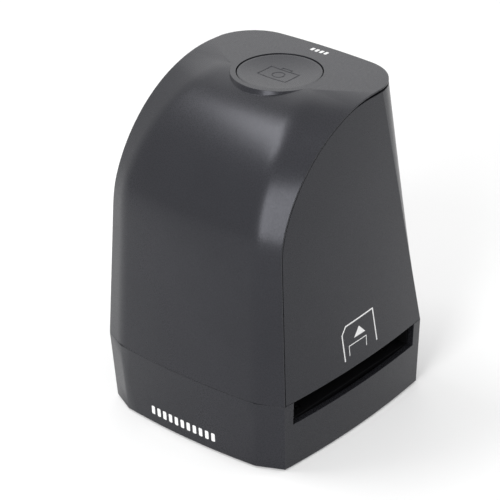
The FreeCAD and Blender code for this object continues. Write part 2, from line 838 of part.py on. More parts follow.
# Base: one open tray with the film slot notched through both side walls
tray = base_solid(0, mm("foot_stand"), mm(SEAM))
hollow = base_solid(mm("base_wall"), mm("foot_stand"), mm(SEAM))
floor_block = shell_foot_box(
    ("-(seam_side_x + overrun)", "seam_side_x + overrun"),
    ("-(seam_front_y + overrun)", "seam_back_y + overrun"),
    ("foot_stand - overrun", FLOOR_TOP),
)
slot = shell_foot_box(
    ("-(seam_side_x + overrun)", "seam_side_x + overrun"),
    ("-slot_front_y", "slot_rear_y"),
    (SLOT_FLOOR, f"{SEAM} + overrun"),
)
case_points = [
    (sign + "case_screw_x", y) for sign in ("", "-") for y in (CASE_FRONT_Y, CASE_REAR_Y)
]
frame_points = [
    (sign + "frame_screw_x", y) for sign in ("", "-") for y in (CASE_FRONT_Y, CASE_REAR_Y)
]
posts = [shell_rod(x, y, ("foot_stand", SEAM), "post_radius") for x, y in case_points]
post_feet = [
    shell_rod(x, y, ("foot_stand", f"{HEAD_SEAT} + wall"), "post_foot_radius").common(tray)
    for x, y in case_points
]
frame_posts = [
    shell_rod(x, y, ("foot_stand", f"{FRAME_LOW} - fit_gap / 2"), "post_radius")
    for x, y in frame_points
]
channel_posts = [
    shell_rod(x, y, ("foot_stand", PAD_LOW), "post_radius") for x, y in CHANNEL_POINTS
]
screw_ways = [
    shell_rod(x, y, ("foot_stand - overrun", SEAM), "screw_radius + screw_slack * 2")
    for x, y in case_points
]
screw_sinks = [
    shell_rod(x, y, ("foot_stand - overrun", HEAD_SEAT), "screw_head_radius + screw_slack * 2")
    for x, y in case_points
]
frame_pilots = [
    shell_rod(
        x,
        y,
        (f"{FRAME_LOW} - thread_depth", f"{FRAME_LOW} + overrun"),
        "screw_radius + screw_slack / 2",
    )
    for x, y in frame_points
]
channel_pilots = [
    shell_rod(
        x,
        y,
        (f"{PAD_LOW} - thread_depth", f"{PAD_LOW} + overrun"),
        "screw_radius + screw_slack / 2",
    )
    for x, y in CHANNEL_POINTS
]
foot_sinks = [
    shell_rod(x, y, ("foot_stand - overrun", FOOT_TOP), "foot_radius + fit_gap / 2")
    for x, y in FOOT_POINTS
]
base = tray.cut(hollow.cut(floor_block)).cut(slot)
base = base.fuse(posts + post_feet + frame_posts + channel_posts)
base = base.cut(screw_ways + screw_sinks + frame_pilots + channel_pilots + foot_sinks)
base_tray = subpart(shaped("Base", base.removeSplitter()), "base_tray")


# Screws


def screw(name, x, y, seat, length, upwards=False):
    """A cross-headed screw; its head rests on the seat, its shank goes down or upwards."""
    if upwards:
        head_z = (f"{seat} - screw_head_thick", seat)
        shank_z = (f"{seat} - screw_head_thick / 2", f"{seat} + {length}")
        cross_z = (f"{seat} - screw_head_thick - overrun", f"{seat} - screw_head_thick + slot_cut_depth")
    else:
        head_z = (seat, f"{seat} + screw_head_thick")
        shank_z = (f"{seat} - ({length})", f"{seat} + screw_head_thick / 2")
        cross_z = (f"{seat} + screw_head_thick - slot_cut_depth", f"{seat} + screw_head_thick + overrun")
    head = rod(name + "_head", x, y, head_z, "screw_head_radius")
    shank = rod(name + "_shank", x, y, shank_z, "screw_radius")
    long_cut = "screw_head_radius * 4 / 3"
    first = centred_box(name + "_cut_x", x, y, cross_z, long_cut, "slot_cut_width")
    second = centred_box(name + "_cut_y", x, y, cross_z, "slot_cut_width", long_cut)
    return cut(name, join(name + "_blank", head, shank), first, second)


def screws(label, places, seat, length, upwards=False):
    """One node of like screws."""
    made = [
        screw(f"{label}_{i}", x, y, seat, length, upwards) for i, (x, y) in enumerate(places)
    ]
    return subpart(group(label + "_group", *made), label)


def tangent_arcs(start, start_way, end, end_way):
    """Two arcs that leave the start and reach the end along the given directions."""
    chord = end - start
    ways = start_way + end_way
    square = ways.dot(ways) - 4
    slope = -2 * chord.dot(ways)
    reach = (-slope - math.sqrt(slope * slope - 4 * square * chord.dot(chord))) / (2 * square)
    first = start + start_way * reach
    second = end - end_way * reach
    middle = (first + second) * 0.5
    arcs = []
    for before, corner, after in ((start, first, middle), (middle, second, end)):
        half_turn = (corner - before).getAngle(after - corner) / 2
        bend = (corner - before).Length / math.tan(half_turn)
        outwards = (corner - (before + after) * 0.5).normalize()
        crest = corner - outwards * (bend / math.cos(half_turn) - bend)
        arcs.append(Part.Arc(before, crest, after).toShape())
    return arcs


def coil(name, x, y, z, radius, wire, turns):
    """A compression spring between two levels; its wire's section has flats, not a true round."""
    wide = mm(radius)
    thick = mm(wire)
    low = mm(z[0]) + thick
    pitch = (mm(z[1]) - thick - low) / mm(turns)
    centre = Vector(mm(x), mm(y), low)
    climb = pitch / (2 * math.pi)
    stops = []
    for quarter in range(round(mm(turns) * 4) + 1):
        angle = quarter * math.pi / 2
        out = Vector(math.cos(angle), math.sin(angle), 0)
        way = Vector(-out.y * wide, out.x * wide, climb).normalize()
        stops.append((centre + out * wide + Vector(0, 0, pitch * quarter / 4), way))
    arcs = []
    for (start, start_way), (end, end_way) in zip(stops, stops[1:]):
        arcs += tangent_arcs(start, start_way, end, end_way)
    begin, begin_way = stops[0]
    across = Vector(1, 0, 0)
    upwards = begin_way.cross(across)
    corners = []
    for flat in range(WIRE_FLATS):
        angle = 2 * math.pi * flat / WIRE_FLATS
        corners.append(begin + (across * math.cos(angle) + upwards * math.sin(angle)) * thick)
    section = Part.makePolygon(corners + corners[:1])
    return shaped(name, Part.Wire(arcs).makePipeShell([section], True, False))


def upright_profile(body, name, points):
    """A closed sketch of radius and height pairs on the body's XZ plane, tied to the sizes."""
    sketch = body.newObject("Sketcher::SketchObject", name)
    planes = {plane.Role: plane for plane in body.Origin.OriginFeatures}
    sketch.AttachmentSupport = (planes["XZ_Plane"], [""])
    sketch.MapMode = "FlatFace"
    corners = [Vector(mm(across), mm(up), 0) for across, up in points]
    count = len(corners)
    for index, corner in enumerate(corners):
        sketch.addGeometry(Part.LineSegment(corner, corners[(index + 1) % count]), False)
    for index in range(count):
        sketch.addConstraint(Sketcher.Constraint("Coincident", index, 2, (index + 1) % count, 1))
    for index, (across, up) in enumerate(points):
        for kind, text in (("DistanceX", across), ("DistanceY", up)):
            value = mm(text)
            constraint = Sketcher.Constraint(kind, -1, 1, index, 1, value)
            number = sketch.addConstraint(constraint)
            if text != "0":
                sketch.renameConstraint(number, f"{kind}_{index}")
                sketch.setExpression(f"Constraints.{kind}_{index}", cells(text))
    return sketch


def turned(name, x, y, points):
    """A piece turned about an upright axis from a profile of radius and height pairs."""
    body = doc.addObject("PartDesign::Body", name)
    sketch = upright_profile(body, name + "_profile", points)
    revolution = body.newObject("PartDesign::Revolution", name + "_turn")
    revolution.Profile = sketch
    revolution.ReferenceAxis = (sketch, ["V_Axis"])
    revolution.Angle = 360
    body.Tip = revolution
    bind(body, Placement__Base__x=x, Placement__Base__y=y)
    return body


def slab(name, wide, deep, low, thick, holes=(), x="0", y="0"):
    """A rectangular board about a point, padded from a sketch, with round holes."""
    body = doc.addObject("PartDesign::Body", name)
    sketch = body.newObject("Sketcher::SketchObject", name + "_outline")
    planes = {plane.Role: plane for plane in body.Origin.OriginFeatures}
    sketch.AttachmentSupport = (planes["XY_Plane"], [""])
    sketch.MapMode = "FlatFace"
    half_x = mm(wide) / 2
    half_y = mm(deep) / 2
    corners = [
        Vector(-half_x, -half_y, 0),
        Vector(half_x, -half_y, 0),
        Vector(half_x, half_y, 0),
        Vector(-half_x, half_y, 0),
    ]
    for index in range(4):
        sketch.addGeometry(Part.LineSegment(corners[index], corners[(index + 1) % 4]), False)
    for index in range(4):
        sketch.addConstraint(Sketcher.Constraint("Coincident", index, 2, (index + 1) % 4, 1))
    signs = ((-1, -1), (1, -1), (1, 1), (-1, 1))
    for index, (sign_x, sign_y) in enumerate(signs):
        for kind, sign, text in (("DistanceX", sign_x, wide), ("DistanceY", sign_y, deep)):
            constraint = Sketcher.Constraint(kind, -1, 1, index, 1, sign * mm(text) / 2)
            number = sketch.addConstraint(constraint)
            sketch.renameConstraint(number, f"{kind}_{index}")
            sketch.setExpression(f"Constraints.{kind}_{index}", cells(f"({text}) / 2 * {sign}"))
    for index, (across, along, radius) in enumerate(holes):
        centre = Vector(mm(across), mm(along), 0)
        circle = sketch.addGeometry(Part.Circle(centre, Vector(0, 0, 1), mm(radius)), False)
        for kind, text in (("DistanceX", across), ("DistanceY", along)):
            number = sketch.addConstraint(Sketcher.Constraint(kind, -1, 1, circle, 3, mm(text)))
            sketch.renameConstraint(number, f"hole_{kind}_{index}")
            sketch.setExpression(f"Constraints.hole_{kind}_{index}", cells(text))
        number = sketch.addConstraint(Sketcher.Constraint("Radius", circle, mm(radius)))
        sketch.renameConstraint(number, f"hole_radius_{index}")
        sketch.setExpression(f"Constraints.hole_radius_{index}", cells(radius))
    pad = body.newObject("PartDesign::Pad", name + "_pad")
    pad.Profile = sketch
    bind(pad, Length=thick)
    body.Tip = pad
    place(body, x, y, low)
    return body


# Button: a dished cap on a skirt with a retaining flange, and a stem down to the switch
RIM = f"{TOP} - button_drop"
CAP_UNDER = f"{RIM} - button_dish - button_cap"
FLANGE_TOP = f"{TOP} - wall - rest_gap"
SWITCH_BOARD_TOP = f"{CARRIER_LOW} - switch_drop"
SWITCH_TOP = f"{SWITCH_BOARD_TOP} + switch_tall"
STEM_LOW = f"{SWITCH_TOP} + plunger_proud + running_gap"
BUTTON_RADIUS = "button_hole_radius - button_gap"

blank = turned("ButtonBlank", "0", "button_y", (
    ("0", RIM),
    ("0", STEM_LOW),
    ("stem_radius", STEM_LOW),
    ("stem_radius", CAP_UNDER),
    (f"{BUTTON_RADIUS} - button_skirt", CAP_UNDER),
    (f"{BUTTON_RADIUS} - button_skirt", f"{RIM} - button_height"),
    ("button_hole_radius + flange_wide", f"{RIM} - button_height"),
    ("button_hole_radius + flange_wide", FLANGE_TOP),
    (BUTTON_RADIUS, FLANGE_TOP),
    (BUTTON_RADIUS, RIM),
))
dish_rim = f"({BUTTON_RADIUS} - button_rim)"
dish_radius = f"({dish_rim} * {dish_rim} + button_dish * button_dish) / (2 * button_dish)"
dish_centre = f"{RIM} - button_dish + {dish_radius}"
dish = doc.addObject("Part::Sphere", "ButtonDish")
bind(dish, Radius=dish_radius)
place(dish, "0", "button_y", dish_centre)
deeper = doc.addObject("Part::Sphere", "EngravingDepth")
bind(deeper, Radius=f"{dish_radius} + engrave_depth")
place(deeper, "0", "button_y", dish_centre)
icon_z = (CAP_UNDER, f"{TOP} + overrun")
icon_y = "button_y - icon_bump_deep / 2"
icon_body = cut(
    "IconBody",
    centred_box("IconOuter", "0", icon_y, icon_z, "icon_wide", "icon_deep"),
    centred_box(
        "IconInner", "0", icon_y, icon_z, "icon_wide - 2 * icon_line", "icon_deep - 2 * icon_line"
    ),
)
icon_bump = cut(
    "IconBump",
    box(
        "BumpOuter",
        ("-icon_bump_wide / 2", "icon_bump_wide / 2"),
        (f"{icon_y} + icon_deep / 2 - icon_line", f"{icon_y} + icon_deep / 2 + icon_bump_deep"),
        icon_z,
    ),
    box(
        "BumpInner",
        ("-icon_bump_wide / 2 + icon_line", "icon_bump_wide / 2 - icon_line"),
        (f"{icon_y} + icon_deep / 2", f"{icon_y} + icon_deep / 2 + icon_bump_deep - icon_line"),
        icon_z,
    ),
)
icon_lens = cut(
    "IconLens",
    rod("LensOuter", "0", icon_y, icon_z, "icon_lens_radius"),
    rod("LensInner", "0", icon_y, icon_z, "icon_lens_radius - icon_line"),
)
engraving = doc.addObject("Part::Common", "Engraving")
engraving.Base = join("Icon", icon_body, icon_bump, icon_lens)
engraving.Tool = deeper
copy_button = subpart(cut("Button", blank, dish, engraving), "copy_button")

# Carrier screwed under two posts of the hood, with the stem's guide tube and the switch posts
carrier_plate = centred_box(
    "CarrierPlate",
    "0",
    "button_y",
    (CARRIER_LOW, CARRIER_TOP),
    "2 * (carrier_screw_x + post_radius)",
    "carrier_deep",
)
carrier_disc = rod("CarrierDisc", "0", "button_y", (CARRIER_LOW, CARRIER_TOP), "carrier_disc")
stem_guide_radius = "stem_radius + running_gap"
guide_tube = rod(
    "GuideTube", "0", "button_y", (CARRIER_LOW, f"{CARRIER_TOP} + tube_rise"),
    f"{stem_guide_radius} + tube_wall",
)
guide_bore = rod(
    "GuideBore", "0", "button_y", (f"{CARRIER_LOW} - overrun", f"{TOP}"), stem_guide_radius
)
switch_posts = [
    rod(f"SwitchPost{i}", x, "button_y", (SWITCH_BOARD_TOP, CARRIER_TOP), "switch_post_radius")
    for i, x in enumerate(("switch_post_x", "-switch_post_x"))
]
switch_pilots = [
    rod(
        f"SwitchPilot{i}", x, "button_y", (f"{SWITCH_BOARD_TOP} - overrun", CARRIER_LOW),
        "screw_radius + screw_slack / 2",
    )
    for i, x in enumerate(("switch_post_x", "-switch_post_x"))
]
carrier_holes = [
    rod(
        f"CarrierHole{i}", x, "button_y", (f"{CARRIER_LOW} - overrun", f"{CARRIER_TOP} + overrun"),
        "screw_radius + screw_slack",
    )
    for i, x in enumerate(("carrier_screw_x", "-carrier_screw_x"))
]
carrier = join("CarrierBlank", carrier_plate, carrier_disc, guide_tube, *switch_posts)
button_carrier = subpart(
    cut("Carrier", carrier, guide_bore, *switch_pilots, *carrier_holes), "button_carrier"
)
carrier_places = [("carrier_screw_x", "button_y"), ("-carrier_screw_x", "button_y")]
screws("carrier_screws", carrier_places, CARRIER_LOW, "carrier_thick + thread_depth * 3 / 4", True)
button_spring = subpart(
    coil(
        "ButtonSpring", "0", "button_y",
        (f"{CARRIER_TOP} + running_gap", f"{CAP_UNDER} - running_gap"),
        "spring_radius", "spring_wire_radius", "spring_turns",
    ),
    "button_spring",
)

# Push switch on its own small board
switch_board = subpart(
    slab(
        "SwitchBoard", "switch_board_wide", "switch_board_deep",
        f"{SWITCH_BOARD_TOP} - switch_board_thick", "switch_board_thick",
        [
            ("switch_post_x", "0", "screw_radius + screw_slack"),
            ("-switch_post_x", "0", "screw_radius + screw_slack"),
        ],
        "0", "button_y",
    ),
    "switch_board",
)
switch_block = centred_box(
    "SwitchBlock", "0", "button_y", (SWITCH_BOARD_TOP, SWITCH_TOP), "switch_wide", "switch_wide"
)
switch_bore = rod(
    "SwitchBore", "0", "button_y",
    (f"{SWITCH_TOP} + plunger_proud - plunger_length - flange_wide", f"{SWITCH_TOP} + overrun"),
    "plunger_radius + running_gap",
)
switch_body = subpart(cut("SwitchCase", switch_block, switch_bore), "switch_body")
switch_plunger = subpart(
    rod(
        "Plunger", "0", "button_y",
        (f"{SWITCH_TOP} + plunger_proud - plunger_length", f"{SWITCH_TOP} + plunger_proud"),
        "plunger_radius",
    ),
    "switch_plunger",
)
screws(
    "switch_screws",
    [("switch_post_x", "button_y"), ("-switch_post_x", "button_y")],
    f"{SWITCH_BOARD_TOP} - switch_board_thick",
    "switch_board_thick + thread_depth / 2",
    True,
)
screws("hood_screws", [("ear_x", "ear_y"), ("-ear_x", "ear_y")], EAR_LOW,
       "ear_thick + thread_depth * 3 / 4", True)
screws("case_screws", case_points, HEAD_SEAT, f"({SHELL_FOOT}) - ({HEAD_SEAT}) + thread_depth - wall / 2",
       True)

# Film path: a trough with two rails, a window and, in front of it, a sprung pin in its floor
CHANNEL_HALF_X = "(seam_side_x - base_wall - fit_gap * 2)"
RAIL_TOP = SEAM
PIN_TIP = f"{SLOT_FLOOR} + pin_proud"
PIN_LOW = f"{PIN_TIP} - pin_length"
HOUSING_LOW = f"{CHANNEL_LOW} - housing_depth"
CAP_TOP = f"{HOUSING_LOW} + housing_cap"
trough_block = box(
    "TroughBlock",
    (f"-{CHANNEL_HALF_X}", CHANNEL_HALF_X),
    ("-(slot_front_y + rail_thick)", "slot_rear_y + rail_thick"),
    (CHANNEL_LOW, RAIL_TOP),
)
trough_way = box(
    "TroughWay",
    (f"-{CHANNEL_HALF_X} - overrun", f"{CHANNEL_HALF_X} + overrun"),
    ("-slot_front_y", "slot_rear_y"),
    (SLOT_FLOOR, f"{RAIL_TOP} + overrun"),
)
window_z = (f"{CHANNEL_LOW} - overrun", f"{FRAME_TOP} + overrun")
trough_window = centred_box("TroughWindow", "0", "0", window_z, "window_wide", "window_deep")
pin_housing = rod("PinHousing", "0", "-pin_y", (HOUSING_LOW, SLOT_FLOOR), "pin_housing_radius")
pin_bore = rod(
    "PinBore", "0", "-pin_y", (PIN_LOW, f"{SLOT_FLOOR} + overrun"), "pin_radius + running_gap"
)
flange_bore = rod(
    "FlangeBore", "0", "-pin_y",
    (f"{HOUSING_LOW} - overrun", f"{PIN_LOW} + pin_flange_thick + rest_gap"),
    "pin_flange_radius + running_gap",
)
sunk_heads = [
    rod(
        f"ChannelSink{i}", x, y,
        (f"{SLOT_FLOOR} - screw_head_thick - screw_slack", f"{SLOT_FLOOR} + overrun"),
        "screw_head_radius + screw_slack",
    )
    for i, (x, y) in enumerate(CHANNEL_POINTS)
]
channel_holes = [
    rod(
        f"ChannelHole{i}", x, y, (f"{CHANNEL_LOW} - overrun", f"{SLOT_FLOOR} + overrun"),
        "screw_radius + screw_slack",
    )
    for i, (x, y) in enumerate(CHANNEL_POINTS)
]
channel_pads = [
    rod(f"ChannelPad{i}", x, y, (f"{CHANNEL_LOW} - channel_pad", SLOT_FLOOR), "post_radius")
    for i, (x, y) in enumerate(CHANNEL_POINTS)
]
trough_open = cut("TroughOpen", trough_block, trough_way, trough_window)
trough = join("Trough", trough_open, pin_housing, *channel_pads)
film_channel = subpart(
    cut("Channel", trough, pin_bore, flange_bore, *sunk_heads, *channel_holes), "film_channel"
)
screws("channel_screws", CHANNEL_POINTS, f"{SLOT_FLOOR} - screw_head_thick - screw_slack",
       "channel_floor + channel_pad + thread_depth / 3")

film_detent = subpart(
    turned("Pin", "0", "-pin_y", (
        ("0", PIN_LOW),
        ("pin_flange_radius", PIN_LOW),
        ("pin_flange_radius", f"{PIN_LOW} + pin_flange_thick"),
        ("pin_radius", f"{PIN_LOW} + pin_flange_thick"),
        ("pin_radius", SLOT_FLOOR),
        ("pin_radius - pin_proud", PIN_TIP),
        ("0", PIN_TIP),
    )),
    "film_detent",
)
detent_cap = subpart(
    rod("PinCap", "0", "-pin_y", (HOUSING_LOW, CAP_TOP), "pin_flange_radius + running_gap / 2"),
    "detent_cap",
)
detent_spring = subpart(
    coil(
        "PinSpring", "0", "-pin_y", (f"{CAP_TOP} + running_gap", f"{PIN_LOW} - running_gap"),
        "pin_spring_radius", "pin_spring_wire", "pin_spring_turns",
    ),
    "detent_spring",
)

# Roof of the film path
roof = box(
    "Roof", ("-guide_half_x", "guide_half_x"), ("-slot_front_y", "slot_rear_y"),
    (SHELL_FOOT, f"{SHELL_FOOT} + guide_thick"),
)
roof_window = centred_box("RoofWindow", "0", "0", window_z, "window_wide", "window_deep")
film_guide_upper = subpart(cut("FilmRoof", roof, roof_window), "film_guide_upper")

# Light source: a white box on the base's floor, a lamp board in it and a diffuser on top
LIGHT_TOP = f"{CHANNEL_LOW} - running_gap * 2"
light_block = centred_box(
    "LightBlock", "0", "0", (FLOOR_TOP, LIGHT_TOP), "light_box_wide", "light_box_deep"
)
light_space = centred_box(
    "LightSpace", "0", "0", (f"{FLOOR_TOP} - overrun", f"{LIGHT_TOP} + overrun"),
    "light_box_wide - 2 * light_box_wall", "light_box_deep - 2 * light_box_wall",
)
light_rebate = centred_box(
    "LightRebate", "0", "0", (f"{LIGHT_TOP} - diffuser_thick", f"{LIGHT_TOP} + overrun"),
    "light_box_wide - light_box_wall", "light_box_deep - light_box_wall",
)
LEAD_X = "(light_box_wide / 2 - light_box_wall - plug_deep / 2 - plug_gap)"
light_notch = box(
    "LightNotch",
    (f"{LEAD_X} - 2 * lead_radius", f"{LEAD_X} + 2 * lead_radius"),
    ("0", "light_box_deep"),
    (f"{FLOOR_TOP} - overrun", f"{FLOOR_TOP} + plug_tall + 3 * lead_radius"),
)
light_box = subpart(
    cut("LightBox", light_block, light_space, light_rebate, light_notch), "light_box"
)
diffuser_plate = subpart(
    centred_box(
        "Diffuser", "0", "0", (f"{LIGHT_TOP} - diffuser_thick + running_gap", LIGHT_TOP),
        "light_box_wide - light_box_wall - fit_gap", "light_box_deep - light_box_wall - fit_gap",
    ),
    "diffuser_plate",
)
LED_BOARD_TOP = f"{FLOOR_TOP} + led_board_thick"
led_board = subpart(
    slab(
        "LedBoard", "light_box_wide - 2 * light_box_wall - fit_gap",
        "light_box_deep - 2 * light_box_wall - fit_gap", FLOOR_TOP, "led_board_thick",
    ),
    "led_board",
)
lamps = []
for column in (-1, 0, 1):
    for line in (-1, 1):
        spot = f"{column + 1}{line + 1}"
        lamp_x = f"led_pitch_x * {column}"
        lamp_y = f"led_pitch_y * {line} / 2"
        lamp_case = centred_box(
            f"LampCase{spot}", lamp_x, lamp_y, (LED_BOARD_TOP, f"{LED_BOARD_TOP} + led_tall"),
            "led_wide", "led_wide",
        )
        lamp_dome = doc.addObject("Part::Sphere", f"LampDome{spot}")
        bind(lamp_dome, Radius="led_dome", Angle1="0")
        place(lamp_dome, lamp_x, lamp_y, f"{LED_BOARD_TOP} + led_tall")
        lamps.append(join(f"Lamp{spot}", lamp_case, lamp_dome))
leds = subpart(group("Lamps", *lamps), "leds")
resistors = [
    centred_box(
        f"Resistor{column + 1}", f"led_pitch_x * {column}", "0",
        (LED_BOARD_TOP, f"{LED_BOARD_TOP} + resistor_tall"), "resistor_long", "resistor_wide",
    )
    for column in (-1, 0, 1)
]
led_resistors = subpart(group("LampResistors", *resistors), "led_resistors")

# Chassis: a plate over the film path, a light tunnel, a narrower neck and a deck for the camera
TUNNEL_TOP = f"{FRAME_TOP} + tunnel_rise"
NECK_TOP = f"{TUNNEL_TOP} + neck_rise"
DECK_TOP = f"{NECK_TOP} + frame_thick"
frame_plate = box(
    "FramePlate", ("-frame_half_x", "frame_half_x"), ("-frame_half_y", "frame_half_y"),
    (FRAME_LOW, FRAME_TOP),
)
frame_ears = box(
    "FrameEars", ("-frame_ear_x", "frame_ear_x"),
    ("-(seam_front_y - wall - frame_edge_gap)", "seam_back_y - wall - frame_edge_gap"),
    (FRAME_LOW, FRAME_TOP),
)
tunnel = centred_box("Tunnel", "0", "0", (FRAME_LOW, TUNNEL_TOP), "tunnel_wide", "tunnel_deep")
neck = centred_box("Neck", "0", "0", (FRAME_TOP, NECK_TOP), "neck_wide", "neck_wide")
deck = centred_box("Deck", "0", "0", (NECK_TOP, DECK_TOP), "deck_wide", "deck_deep")
tunnel_space = centred_box(
    "TunnelSpace", "0", "0", (FRAME_TOP, f"{TUNNEL_TOP} - tunnel_wall"),
    "tunnel_wide - 2 * tunnel_wall", "tunnel_deep - 2 * tunnel_wall",
)
neck_space = centred_box(
    "NeckSpace", "0", "0", (FRAME_TOP, f"{DECK_TOP} + overrun"),
    "neck_wide - 2 * tunnel_wall", "neck_wide - 2 * tunnel_wall",
)
frame_window = centred_box("FrameWindow", "0", "0", window_z, "window_wide", "window_deep")
standoff_places = [
    (x, y) for x in ("standoff_x", "-standoff_x") for y in ("standoff_front_y", "standoff_rear_y")
]
standoffs = [
    rod(f"Standoff{i}", x, y, (FRAME_LOW, BOARD_LOW), "post_radius")
    for i, (x, y) in enumerate(standoff_places)
]
standoff_pilots = [
    rod(
        f"StandoffPilot{i}", x, y, (f"{FRAME_LOW} + wall / 2", f"{BOARD_LOW} + overrun"),
        "screw_radius + screw_slack / 2",
    )
    for i, (x, y) in enumerate(standoff_places)
]
frame_holes = [
    rod(
        f"FrameHole{i}", x, y, (f"{FRAME_LOW} - overrun", f"{FRAME_TOP} + overrun"),
        "screw_radius + screw_slack",
    )
    for i, (x, y) in enumerate(frame_points)
]
deck_places = [
    (x, y)
    for x in ("(deck_wide / 2 - screw_head_radius)", "-(deck_wide / 2 - screw_head_radius)")
    for y in ("(deck_deep / 2 - screw_head_radius)", "-(deck_deep / 2 - screw_head_radius)")
]
deck_bosses = [
    rod(f"DeckBoss{i}", x, y, (f"{DECK_TOP} - thread_depth * 2 / 3", DECK_TOP), "screw_head_radius")
    for i, (x, y) in enumerate(deck_places)
]
deck_pilots = [
    rod(
        f"DeckPilot{i}", x, y, (f"{DECK_TOP} - thread_depth / 2", f"{DECK_TOP} + overrun"),
        "screw_radius + screw_slack / 2",
    )
    for i, (x, y) in enumerate(deck_places)
]
frame_blank = join("FrameBlank", frame_plate, frame_ears, tunnel, neck, deck, *standoffs, *deck_bosses)
optics_frame = subpart(
    cut(
        "Chassis", frame_blank, tunnel_space, neck_space, frame_window, *standoff_pilots,
        *frame_holes, *deck_pilots,
    ),
    "optics_frame",
)
screws("frame_screws", frame_points, FRAME_TOP, "frame_thick + thread_depth * 3 / 4")

# Camera: board, sensor, lens holder with its infrared filter, and a barrel with two lenses
sensor_board = subpart(
    slab(
        "SensorBoard", "deck_wide", "deck_deep", DECK_TOP, "board_thick",
        [(x, y, "screw_radius + screw_slack") for x, y in deck_places],
    ),
    "sensor_board",
)
SENSOR_BOARD_TOP = f"{DECK_TOP} + board_thick"
screws("sensor_board_screws", deck_places, SENSOR_BOARD_TOP,
       "board_thick + thread_depth / 2 - wall / 2")
SENSOR_LOW = f"{DECK_TOP} - sensor_tall"
image_sensor = subpart(
    centred_box("Sensor", "0", "0", (SENSOR_LOW, DECK_TOP), "sensor_wide", "sensor_deep"),
    "image_sensor",
)
HOLDER_LOW = f"{DECK_TOP} - holder_tall"
HOLDER_NECK_LOW = f"{HOLDER_LOW} - holder_neck_tall"
FILTER_LOW = f"{SENSOR_LOW} - filter_thick - rest_gap"
holder_block = centred_box(
    "HolderBlock", "0", "0", (HOLDER_LOW, DECK_TOP), "holder_wide", "holder_wide"
)
holder_neck = rod("HolderNeck", "0", "0", (HOLDER_NECK_LOW, HOLDER_LOW), "holder_neck_radius")
holder_space = centred_box(
    "HolderSpace", "0", "0", (f"{FILTER_LOW} + filter_thick", f"{DECK_TOP} + overrun"),
    "sensor_wide + fit_gap", "sensor_wide + fit_gap",
)
filter_seat = centred_box(
    "FilterSeat", "0", "0", (FILTER_LOW, f"{DECK_TOP} + overrun"),
    "filter_wide + fit_gap", "filter_wide + fit_gap",
)
holder_bore = rod(
    "HolderBore", "0", "0", (f"{HOLDER_NECK_LOW} - overrun", f"{FILTER_LOW} - light_box_wall"),
    "barrel_radius + running_gap",
)
holder_light = rod(
    "HolderLight", "0", "0", (f"{HOLDER_NECK_LOW} - overrun", f"{FILTER_LOW} + overrun"),
    "filter_wide / 2 - pin_proud",
)
lens_holder = subpart(
    cut(
        "LensHolder", join("HolderBlank", holder_block, holder_neck), holder_space, filter_seat,
        holder_bore, holder_light,
    ),
    "lens_holder",
)
infrared_filter = subpart(
    centred_box(
        "Filter", "0", "0", (FILTER_LOW, f"{FILTER_LOW} + filter_thick"), "filter_wide",
        "filter_wide",
    ),
    "infrared_filter",
)
BARREL_LOW = f"{HOLDER_NECK_LOW} - barrel_below"
lens_barrel = subpart(
    turned("Barrel", "0", "0", (
        ("barrel_bore", BARREL_LOW),
        ("barrel_radius + barrel_ring", BARREL_LOW),
        ("barrel_radius + barrel_ring", f"{BARREL_LOW} + barrel_below / 2"),
        ("barrel_radius", f"{BARREL_LOW} + barrel_below / 2"),
        ("barrel_radius", f"{FILTER_LOW} - light_box_wall - rest_gap"),
        ("barrel_bore - barrel_ring", f"{FILTER_LOW} - light_box_wall - rest_gap"),
        ("barrel_bore - barrel_ring", f"{BARREL_LOW} + barrel_length / 3"),
        ("barrel_bore", f"{BARREL_LOW} + barrel_length / 3"),
    )),
    "lens_barrel",
)


def lens(name, z, radius):
    """A biconvex lens about a level, the overlap of two balls."""
    ball_radius = f"(({radius}) ^ 2 + lens_half_thick ^ 2) / (2 * lens_half_thick)"
    balls = []
    for side, sign in (("Upper", "-"), ("Lower", "+")):
        ball = doc.addObject("Part::Sphere", name + side)
        bind(ball, Radius=ball_radius)
        place(ball, "0", "0", f"{z} {sign} ({ball_radius} - lens_half_thick)")
        balls.append(ball)
    both = doc.addObject("Part::Common", name)
    both.Base, both.Tool = balls
    return both


front_lens = subpart(
    lens("FrontLens", f"{BARREL_LOW} + lens_inset + lens_half_thick", "barrel_bore - running_gap"),
    "front_lens",
)
rear_lens = subpart(
    lens(
        "RearLens", f"{FILTER_LOW} - light_box_wall - lens_inset - lens_half_thick",
        "barrel_bore - barrel_ring - running_gap",
    ),
    "rear_lens",
)

# Main board on the chassis, behind the tunnel
main_board = subpart(
    slab(
        "MainBoard", "2 * main_half_x", "main_rear_y - main_front_y", BOARD_LOW, "board_thick",
        [
            (x, f"{y} - (main_front_y + main_rear_y) / 2", "screw_radius + screw_slack")
            for x, y in standoff_places
        ],
        "0", "(main_front_y + main_rear_y) / 2",
    ),
    "main_board",
)
screws("main_board_screws", standoff_places, USB_LOW, "board_thick + standoff_rise + fit_gap")


def chip(name, x, y, wide, deep):
    """A flat chip: its case and the thin frame of legs it stands on."""
    legs = centred_box(
        name + "Legs", x, y, (USB_LOW, f"{USB_LOW} + fit_gap"), f"{wide} + leg_reach",
        f"{deep} + leg_reach",
    )
    case = centred_box(name + "Case", x, y, (USB_LOW, f"{USB_LOW} + chip_thick"), wide, deep)
    return join(name, legs, case)


